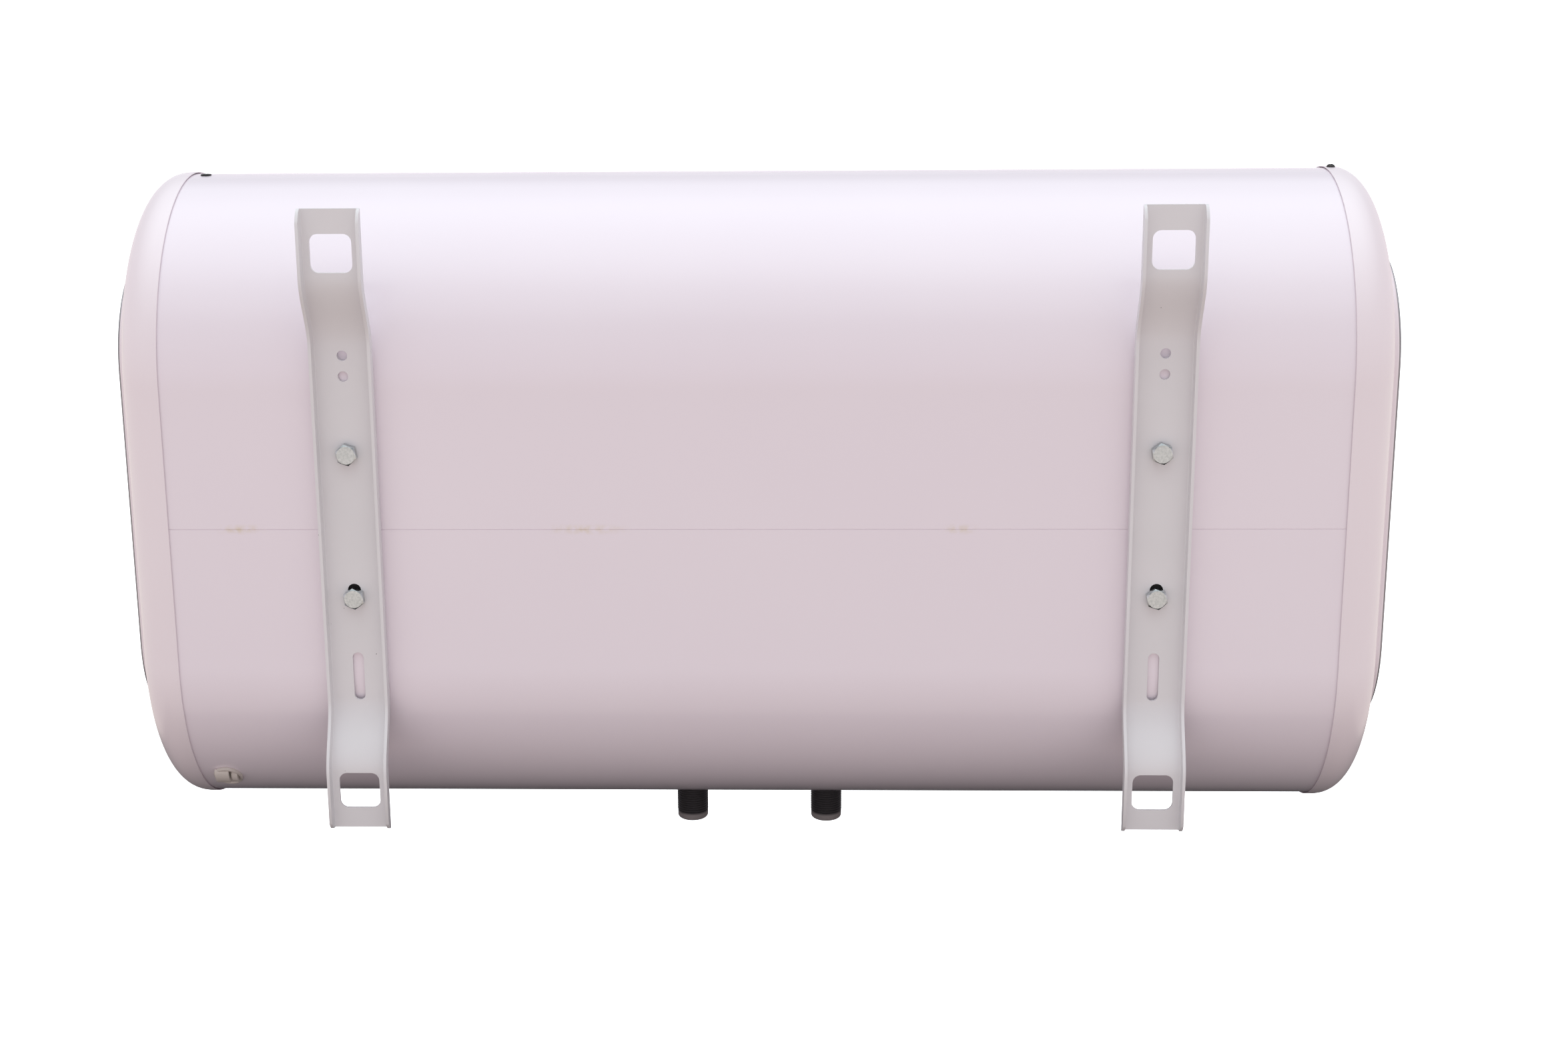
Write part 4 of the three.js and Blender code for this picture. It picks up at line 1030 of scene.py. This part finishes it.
over = saddle_line(SADDLE_REACH, ARCH)
under = saddle_line(SADDLE_REACH - JAW_WALL, ARCH - JAW_WALL)
wedge_arc = [math.radians(180 * i / 10) for i in range(11)]
wedge = [(WEDGE_ARC[0] * math.cos(a), WEDGE_SUNK + WEDGE_ARC[1] * math.sin(a)) for a in wedge_arc]
jaws_shape = bmesh.new()
add_strip(jaws_shape, over + under[::-1], SADDLE_WIDTH, SADDLE_X)
add_strip(jaws_shape, wedge, WEDGE_WIDTH, WEDGE_X)
add_strip(jaws_shape, WEB, WEB_WIDTH, 0)
bmesh.ops.transform(jaws_shape, matrix=to_gland, verts=jaws_shape.verts)
jaws = from_bmesh("gland_jaws", jaws_shape, warm_nylon)
jaws.data.set_sharp_from_angle(angle=math.radians(30))
break_edges(jaws, 0.5 * MM, segments=3, angle=35)
hand_over(jaws, "heater", "gland_plastic", "cord_gland_jaws")

# ---------------------------------------------------------------- foam-hole plug and cap screws
# A small black plug closes the hole that the foam was poured through. Self-tapping screws with
# black oxide pan heads and cross recesses hold the caps at the top and bottom.

PLUG_STEM = 2.5 * MM
PLUG_DEPTH = 3 * MM
PLUG_FLANGE = 0.2 * MM
PLUG_ROUND = 0.6 * MM
PLUG_DISH = (2.2 * MM, 1.9 * MM)
PLUG_TOP = 0.9 * MM
plug_low, plug_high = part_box("foam_hole_plug")
plug_radius = (plug_high.x - plug_low.x) / 2
plug_profile = [(0, -PLUG_DEPTH), (PLUG_STEM, -PLUG_DEPTH), (PLUG_STEM, PLUG_FLANGE)]
plug_profile += [(plug_radius, PLUG_FLANGE)]
plug_profile += round_corner(plug_radius - PLUG_ROUND, 0.3 * MM, PLUG_ROUND, 0, 90)
plug_profile += [(PLUG_DISH[0], PLUG_TOP), (PLUG_DISH[1], 0.5 * MM), (0, 0.5 * MM)]
at_plug = Matrix.Translation((plug_at.x, plug_at.y, casing_high.z))
plug = turned("foam_plug", plug_profile, at_plug, black_plastic, sides=40)
hand_over(plug, "heater", "black_plastic", "foam_hole_plug")

# Black oxide on steel, lightly oiled: dark, part metallic, shinier where the oil lies.
OIL_GRAIN = 0.7 * MM
black_oxide, tree, shader = start_material("black_oxide_steel", Metallic=0.7)
add_grain(tree, shader, OIL_GRAIN, 3.0, ("#2a2828", "#4a4746"), roughness=(0.3, 0.55))

tree, sizes = start_tree(
    "pan_head_screws", ["Head Radius", "Head Height", "Recess Width", "Recess Depth"], ["Sides"]
)
ball_sizes = {"Segments": sizes["Sides"], "Rings": 24, "Radius": 1.0}
ball = add_node(tree, "GeometryNodeMeshUVSphere", ball_sizes)
head_span = {"X": sizes["Head Radius"], "Y": sizes["Head Radius"], "Z": sizes["Head Height"]}
head_scale = add_node(tree, "ShaderNodeCombineXYZ", head_span)
dome = add_node(tree, "GeometryNodeTransform", {"Geometry": ball, "Scale": head_scale})
cross = []
for span in ("X", "Y"):
    size = {"X": sizes["Recess Width"], "Y": sizes["Recess Width"]}
    size["Z"] = calculate("MULTIPLY", sizes["Recess Depth"], 2.0)
    size[span] = calculate("MULTIPLY", sizes["Head Radius"], 1.15)
    bar_size = add_node(tree, "ShaderNodeCombineXYZ", size)
    bar = add_node(tree, "GeometryNodeMeshCube", {"Size": bar_size})
    bar_up = add_node(tree, "ShaderNodeCombineXYZ", {"Z": sizes["Head Height"]})
    cross.append(add_node(tree, "GeometryNodeTransform", {"Geometry": bar, "Translation": bar_up}))
recessed = add_node(
    tree,
    "GeometryNodeMeshBoolean",
    {"Mesh 1": dome, "Mesh 2": cross},
    operation="DIFFERENCE",
    solver="EXACT",
)
# A screw below the middle of the heater faces down.
position = add_node(tree, "GeometryNodeInputPosition")
point_height = add_node(tree, "ShaderNodeSeparateXYZ", {"Vector": position}).outputs["Z"]
half_turn = calculate("MULTIPLY", calculate("LESS_THAN", point_height, 0.0), math.pi)
upside = add_node(tree, "ShaderNodeCombineXYZ", {"X": half_turn})
smooth_head = add_node(tree, "GeometryNodeSetShadeSmooth", {"Geometry": recessed})
finish_tree(tree, sizes["Places"], smooth_head, black_oxide, upside)
screw_nodes = ["cap_screw_left_top", "cap_screw_left_bottom", "cap_screw_right_bottom"]
cap_top = flat_half + cap_radius
screw_places = [(middle(n).x, axis_y, math.copysign(cap_top, middle(n).z)) for n in screw_nodes]
screw_sizes = {
    "Head Radius": 3 * MM,
    "Head Height": 2.1 * MM,
    "Recess Width": 0.7 * MM,
    "Recess Depth": 1 * MM,
    "Sides": 40,
}
screws = make_by_nodes("cap_screws", tree, screw_places, screw_sizes)
screws.data.set_sharp_from_angle(angle=math.radians(30))
hand_over(screws, "heater", "black_screw", *screw_nodes)

# ---------------------------------------------------------------- control panel on the front
# A bezel of white ABS with a dark tinted display window, a fluted knob that sets the water's
# temperature, with raised marks round it, and two push buttons.

BEZEL_CORNER = 14 * MM
PANE_CORNER = 4 * MM
KNOB_HOLE = 3.4 * MM
BUTTON_GAP = 0.3 * MM
BUTTON_RADIUS = 6 * MM
# A cutter starts this far in front of the panel.
CLEAR = 2 * MM

pane_low, pane_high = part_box("display_window")
pane_middle = (pane_low + pane_high) / 2
knob_middle = middle("temperature_knob")
knob_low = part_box("temperature_knob")[0]
panel_front = panel_low.y
panel_outline = rounded_outline(
    panel_high.x - panel_low.x, panel_high.z - panel_low.z, BEZEL_CORNER, steps=14
)
panel_depth = panel_high.y - panel_front
bezel_shape = bmesh.new()
add_prism(bezel_shape, panel_outline, panel_front, panel_depth, panel_middle.x, panel_middle.z)
bezel = from_bmesh("panel_bezel", bezel_shape, abs_white)
openings = bmesh.new()
pane_size = (pane_high.x - pane_low.x, pane_high.z - pane_low.z)
recess = rounded_outline(*[length + 2 * BUTTON_GAP for length in pane_size], PANE_CORNER)
recess_depth = pane_high.y - panel_front + 2.3 * MM
add_prism(openings, recess, panel_front - CLEAR, recess_depth, pane_middle.x, pane_middle.z)
round_openings = [(knob_middle.x, knob_middle.z, KNOB_HOLE)]
for button in ("power_button", "mode_button"):
    round_openings.append((middle(button).x, middle(button).z, BUTTON_RADIUS + BUTTON_GAP))
for x, z, radius in round_openings:
    outline = rounded_outline(2 * radius, 2 * radius, radius - ARC_SHORT, steps=12)
    add_prism(openings, outline, panel_front - CLEAR, 12 * MM, x, z)
cut_out(bezel, openings)
break_edges(bezel, 0.6 * MM, segments=4, angle=50)
hand_over(bezel, "heater", "cap_plastic", "control_panel")

# Tinted acrylic: near black, polished, with the finest of wiping marks, a sixtieth of a metre long.
WIPE_MARK = 1 / 60
tinted, tree, shader = start_material("tinted_acrylic", IOR=1.49)
add_grain(tree, shader, WIPE_MARK, 5.0, ("#0c0e11", "#16191d"), roughness=(0.03, 0.14))
pane_shape = bmesh.new()
pane_depth = pane_high.y - pane_low.y
pane_outline = rounded_outline(*pane_size, PANE_CORNER)
add_prism(pane_shape, pane_outline, pane_low.y, pane_depth, pane_middle.x, pane_middle.z)
pane = break_edges(from_bmesh("display_pane", pane_shape, tinted), 0.4 * MM, segments=3, angle=50)
hand_over(pane, "heater", "dark_pane", "display_window")

FLUTES = 24
FLUTE_DEPTH = 0.5 * MM
GRIP_RADIUS = 16.6 * MM
GRIP_CROWN = 1.6 * MM
# The pointer stands this far proud of the grip, and the grip clears the panel by the other.
POINTER_PROUD = 0.8 * MM
KNOB_CLEARANCE = 0.6 * MM
tree, sizes = start_tree("fluted_knob", ["Radius", "Height", "Flute Depth", "Crown"], ["Flutes", "Sides"])
blank_sizes = {
    "Vertices": sizes["Sides"],
    "Side Segments": 14,
    "Radius": sizes["Radius"],
    "Depth": sizes["Height"],
}
blank = add_node(tree, "GeometryNodeMeshCylinder", blank_sizes)
position = add_node(tree, "GeometryNodeInputPosition")
where = add_node(tree, "ShaderNodeSeparateXYZ", {"Vector": position}).outputs
angle = calculate("ARCTAN2", where["Y"], where["X"])
ripple = calculate("COSINE", calculate("MULTIPLY", angle, sizes["Flutes"]))
flute = calculate("MULTIPLY", calculate("SUBTRACT", ripple, 1.0), sizes["Flute Depth"])
half_height = calculate("DIVIDE", sizes["Height"], 2.0)
crown_foot = calculate("SUBTRACT", half_height, sizes["Crown"])
from_crown = calculate("MAXIMUM", calculate("SUBTRACT", where["Z"], crown_foot), 0.0)
chord = calculate(
    "SUBTRACT", calculate("POWER", sizes["Crown"], 2.0), calculate("POWER", from_crown, 2.0)
)
drawn_in = calculate("SUBTRACT", sizes["Crown"], calculate("SQRT", calculate("MAXIMUM", chord, 0.0)))
grown = calculate("SUBTRACT", flute, drawn_in)
factor = calculate("ADD", calculate("DIVIDE", grown, sizes["Radius"]), 1.0)
narrowed = {axis: calculate("MULTIPLY", where[axis], factor) for axis in ("X", "Y")}
moved = add_node(tree, "ShaderNodeCombineXYZ", {**narrowed, "Z": where["Z"]})
fluted = add_node(tree, "GeometryNodeSetPosition", {"Geometry": blank, "Position": moved})
FACING_USER = (math.pi / 2, 0, 0)
facing_user = add_node(tree, "GeometryNodeTransform", {"Geometry": fluted, "Rotation": FACING_USER})
smooth_knob = add_node(tree, "GeometryNodeSetShadeSmooth", {"Geometry": facing_user})
finish_tree(tree, sizes["Places"], smooth_knob, satin_grey)
grip_depth = panel_front - KNOB_CLEARANCE - knob_low.y - POINTER_PROUD
grip_place = (knob_middle.x, knob_low.y + POINTER_PROUD + grip_depth / 2, knob_middle.z)
grip_sizes = {
    "Radius": GRIP_RADIUS,
    "Height": grip_depth,
    "Flute Depth": FLUTE_DEPTH,
    "Crown": GRIP_CROWN,
    "Flutes": FLUTES,
    "Sides": 12 * FLUTES,
}
knob = make_by_nodes("knob", tree, [grip_place], grip_sizes)
knob.data.set_sharp_from_angle(angle=math.radians(50))
POINTER = (1.6 * MM, 9 * MM, 0.7 * MM)
POINTER_DEPTH = 1.6 * MM
pointer_height = knob_middle.z + 8 * MM
pointer_shape = bmesh.new()
add_prism(
    pointer_shape, rounded_outline(*POINTER), knob_low.y, POINTER_DEPTH, knob_middle.x, pointer_height
)
pointer = break_edges(from_bmesh("knob_pointer", pointer_shape, abs_white), 0.25 * MM)
hand_over(knob, "temperature_knob", "trim_grey", "temperature_knob")
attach(pointer, "temperature_knob")

# Raised marks round the knob, over its 270 degrees of turn.
MARKS = 11
MARK_CIRCLE = 21 * MM
tree, sizes = start_tree("dial_marks", ["Width", "Length", "Thickness"])
mark_span = {"X": sizes["Width"], "Y": sizes["Thickness"], "Z": sizes["Length"]}
mark_size = add_node(tree, "ShaderNodeCombineXYZ", mark_span)
mark = add_node(tree, "GeometryNodeMeshCube", {"Size": mark_size})
position = add_node(tree, "GeometryNodeInputPosition")
here = add_node(tree, "ShaderNodeSeparateXYZ", {"Vector": position}).outputs
lean = calculate(
    "ARCTAN2",
    calculate("SUBTRACT", here["X"], knob_middle.x),
    calculate("SUBTRACT", here["Z"], knob_middle.z),
)
leaning = add_node(tree, "ShaderNodeCombineXYZ", {"Y": lean})
finish_tree(tree, sizes["Places"], mark, satin_grey, leaning)
mark_places = []
for i in range(MARKS):
    a = math.radians(270 * i / (MARKS - 1))
    x = knob_middle.x + MARK_CIRCLE * math.sin(a)
    mark_places.append((x, panel_front, knob_middle.z + MARK_CIRCLE * math.cos(a)))
mark_sizes = {"Width": 0.9 * MM, "Length": 3.2 * MM, "Thickness": 0.5 * MM}
marks = make_by_nodes("dial_marks", tree, mark_places, mark_sizes)
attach(marks, "heater")

TOWARDS_USER = Matrix.Rotation(math.pi / 2, 4, "X")
BUTTON_ROUND = 0.9 * MM
# A button's face is slightly dished, and a flange behind the bezel keeps it in.
DISH = ((0, 0.5 * MM), (4.2 * MM, 0.35 * MM))
BUTTON_FLANGE = (7.4 * MM, 2 * MM)
for button in ("power_button", "mode_button"):
    low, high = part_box(button)
    height = panel_front - low.y
    foot = panel_front - high.y
    profile = [(radius, height - drop) for radius, drop in DISH]
    profile += round_corner(BUTTON_RADIUS - BUTTON_ROUND, height - BUTTON_ROUND, BUTTON_ROUND, 90, 0)
    profile += [(BUTTON_RADIUS, foot + BUTTON_FLANGE[1]), (BUTTON_FLANGE[0], foot + BUTTON_FLANGE[1])]
    profile += [(BUTTON_FLANGE[0], foot), (0, foot)]
    at_button = Matrix.Translation((middle(button).x, panel_front, middle(button).z)) @ TOWARDS_USER
    cap = turned(f"{button}_cap", profile, at_button, abs_white, sides=56)
    hand_over(cap, button, "cap_plastic", button)

# ---------------------------------------------------------------- inside the casing
# The foam, the two enamelled tanks, and the heating and electrical parts keep their own shapes.
# Each finish has the grain of the real stuff.

# For each slot: its finish, dark and light tones, grain, relief, roughness and metallic.
INSIDE = {
    "foam": ("rigid_polyurethane_foam", "#d9c68c", "#e9dcae", 2 * MM, 0.4 * MM, 0.9, 0.0),
    "tank_enamel": ("vitreous_blue_enamel", "#22384d", "#33506b", 4 * MM, 0.03 * MM, 0.3, 0.0),
    "steel": ("cold_rolled_steel", "#85898c", "#a9adb0", 0.8 * MM, 0.01 * MM, 0.38, 1.0),
    "element_sheath": ("copper_sheath", "#a5603f", "#c98a66", 1.5 * MM, 0.02 * MM, 0.35, 1.0),
    "anode_magnesium": ("cast_magnesium", "#a3a5a3", "#bfc1bf", 1.2 * MM, 0.08 * MM, 0.6, 1.0),
    "circuit_board": ("green_solder_mask", "#1f5a38", "#35764e", 1.5 * MM, 0.02 * MM, 0.4, 0.0),
}
finishes = {
    "cap_plastic": abs_white,
    "zinc": zinc,
    "black_plastic": black_plastic,
    "black_rubber": black_rubber,
}
for slot, (name, dark, light, grain_size, relief, roughness, metal) in INSIDE.items():
    finishes[slot], tree, shader = start_material(name, Roughness=roughness, Metallic=metal)
    add_grain(tree, shader, grain_size, 3.0, (dark, light), relief)
for part in frame["record"]["subparts"]:
    node = frame["nodes"][part["node"]]
    if part["material_slot"] in finishes:
        node.data.materials.clear()
        node.data.materials.append(finishes[part["material_slot"]])

# ---------------------------------------------------------------- floor, light and camera
# A plain white floor far below the heater, and a soft dome of light round it: a bright
# horizon, a dimmer band above it, bright overhead and dark underneath.

FLOOR_BELOW = 0.9
FLOOR_SIZE = 90
floor_shape = bmesh.new()
bmesh.ops.create_grid(
    floor_shape,
    x_segments=1,
    y_segments=1,
    size=FLOOR_SIZE / 2,
    matrix=Matrix.Translation((0, 0, -FLOOR_BELOW)),
)
floor_mesh = bpy.data.meshes.new("floor")
floor_shape.to_mesh(floor_mesh)
floor_shape.free()
# It is seen by the camera alone, and glows so that it is an even white.
floor_white, _, shader = start_material("matt_white_floor", Roughness=0.9, Emission_Strength=1.0)
shader.inputs["Base Color"].default_value = linear("#fbfbfb")
shader.inputs["Emission Color"].default_value = linear("#ffffff")
floor_mesh.materials.append(floor_white)
floor = add_piece("floor", floor_mesh)
floor.visible_diffuse = False
floor.visible_glossy = False

# A black card close beneath the heater, out of the camera's sight, shades its underside and
# the brackets' lower ends.
CARD = ((-0.62, -0.5), (0.62, -0.5), (0.62, 0.12), (-0.62, 0.12))
CARD_BELOW = 0.31
card_mesh = bpy.data.meshes.new("black_card")
card_mesh.from_pydata([(x, y, -CARD_BELOW) for x, y in CARD], [], [(0, 1, 2, 3)])
card_mesh.materials.append(black_rubber)
card = add_piece("black_card", card_mesh)
card.visible_camera = False

# The dome's light at each height, from straight down (-1) to straight up (1): its strength and
# its tint. It is warm from the floor, slightly pink at the horizon and cool overhead.
DOME = (
    (-1.0, 0.25, "#fff0e6"),
    (-0.5, 0.85, "#fff0e8"),
    (-0.2, 0.98, "#fff5ef"),
    (0.0, 0.95, "#fff6fd"),
    (0.2, 0.68, "#fff8ff"),
    (0.45, 0.4, "#fbfbff"),
    (0.7, 0.95, "#f6fcff"),
    (1.0, 2.3, "#f4fcff"),
)
brightest = max(level for _, level, _ in DOME)
world = bpy.data.worlds.new("studio")
bpy.context.scene.world = world
world.use_nodes = True
tree = world.node_tree
direction = add_node(tree, "ShaderNodeTexCoord").outputs["Generated"]
up = add_node(tree, "ShaderNodeSeparateXYZ", {"Vector": direction}).outputs["Z"]
share_up = add_node(tree, "ShaderNodeMapRange", {"Value": up, "From Min": -1.0}).outputs[0]
dome = add_node(tree, "ShaderNodeValToRGB", {"Fac": share_up})
ramp = dome.color_ramp
ramp.interpolation = "EASE"
while len(ramp.elements) < len(DOME):
    ramp.elements.new(0.5)
# All the stops are placed before any is coloured, because moving one can change their order.
for stop, (height, _, _) in zip(ramp.elements, DOME):
    stop.position = (height + 1) / 2
for stop, (_, level, tint_hex) in zip(ramp.elements, DOME):
    stop.color = [c * level / brightest for c in linear(tint_hex)[:3]] + [1]
tree.links.new(dome.outputs["Color"], tree.nodes["Background"].inputs["Color"])
tree.nodes["Background"].inputs["Strength"].default_value = brightest

lens = bpy.data.cameras.new("camera")
lens.sensor_width = 36
lens.lens = 53.52
lens.shift_x = 0.02928
camera = bpy.data.objects.new("camera", lens)
camera.location = (-0.0408, 1.4786, 0.4134)
camera.rotation_euler = [math.radians(angle) for angle in (74.901, 0.515, -178.215)]
bpy.context.scene.collection.objects.link(camera)
bpy.context.scene.camera = camera
bpy.context.scene.view_settings.view_transform = "Standard"
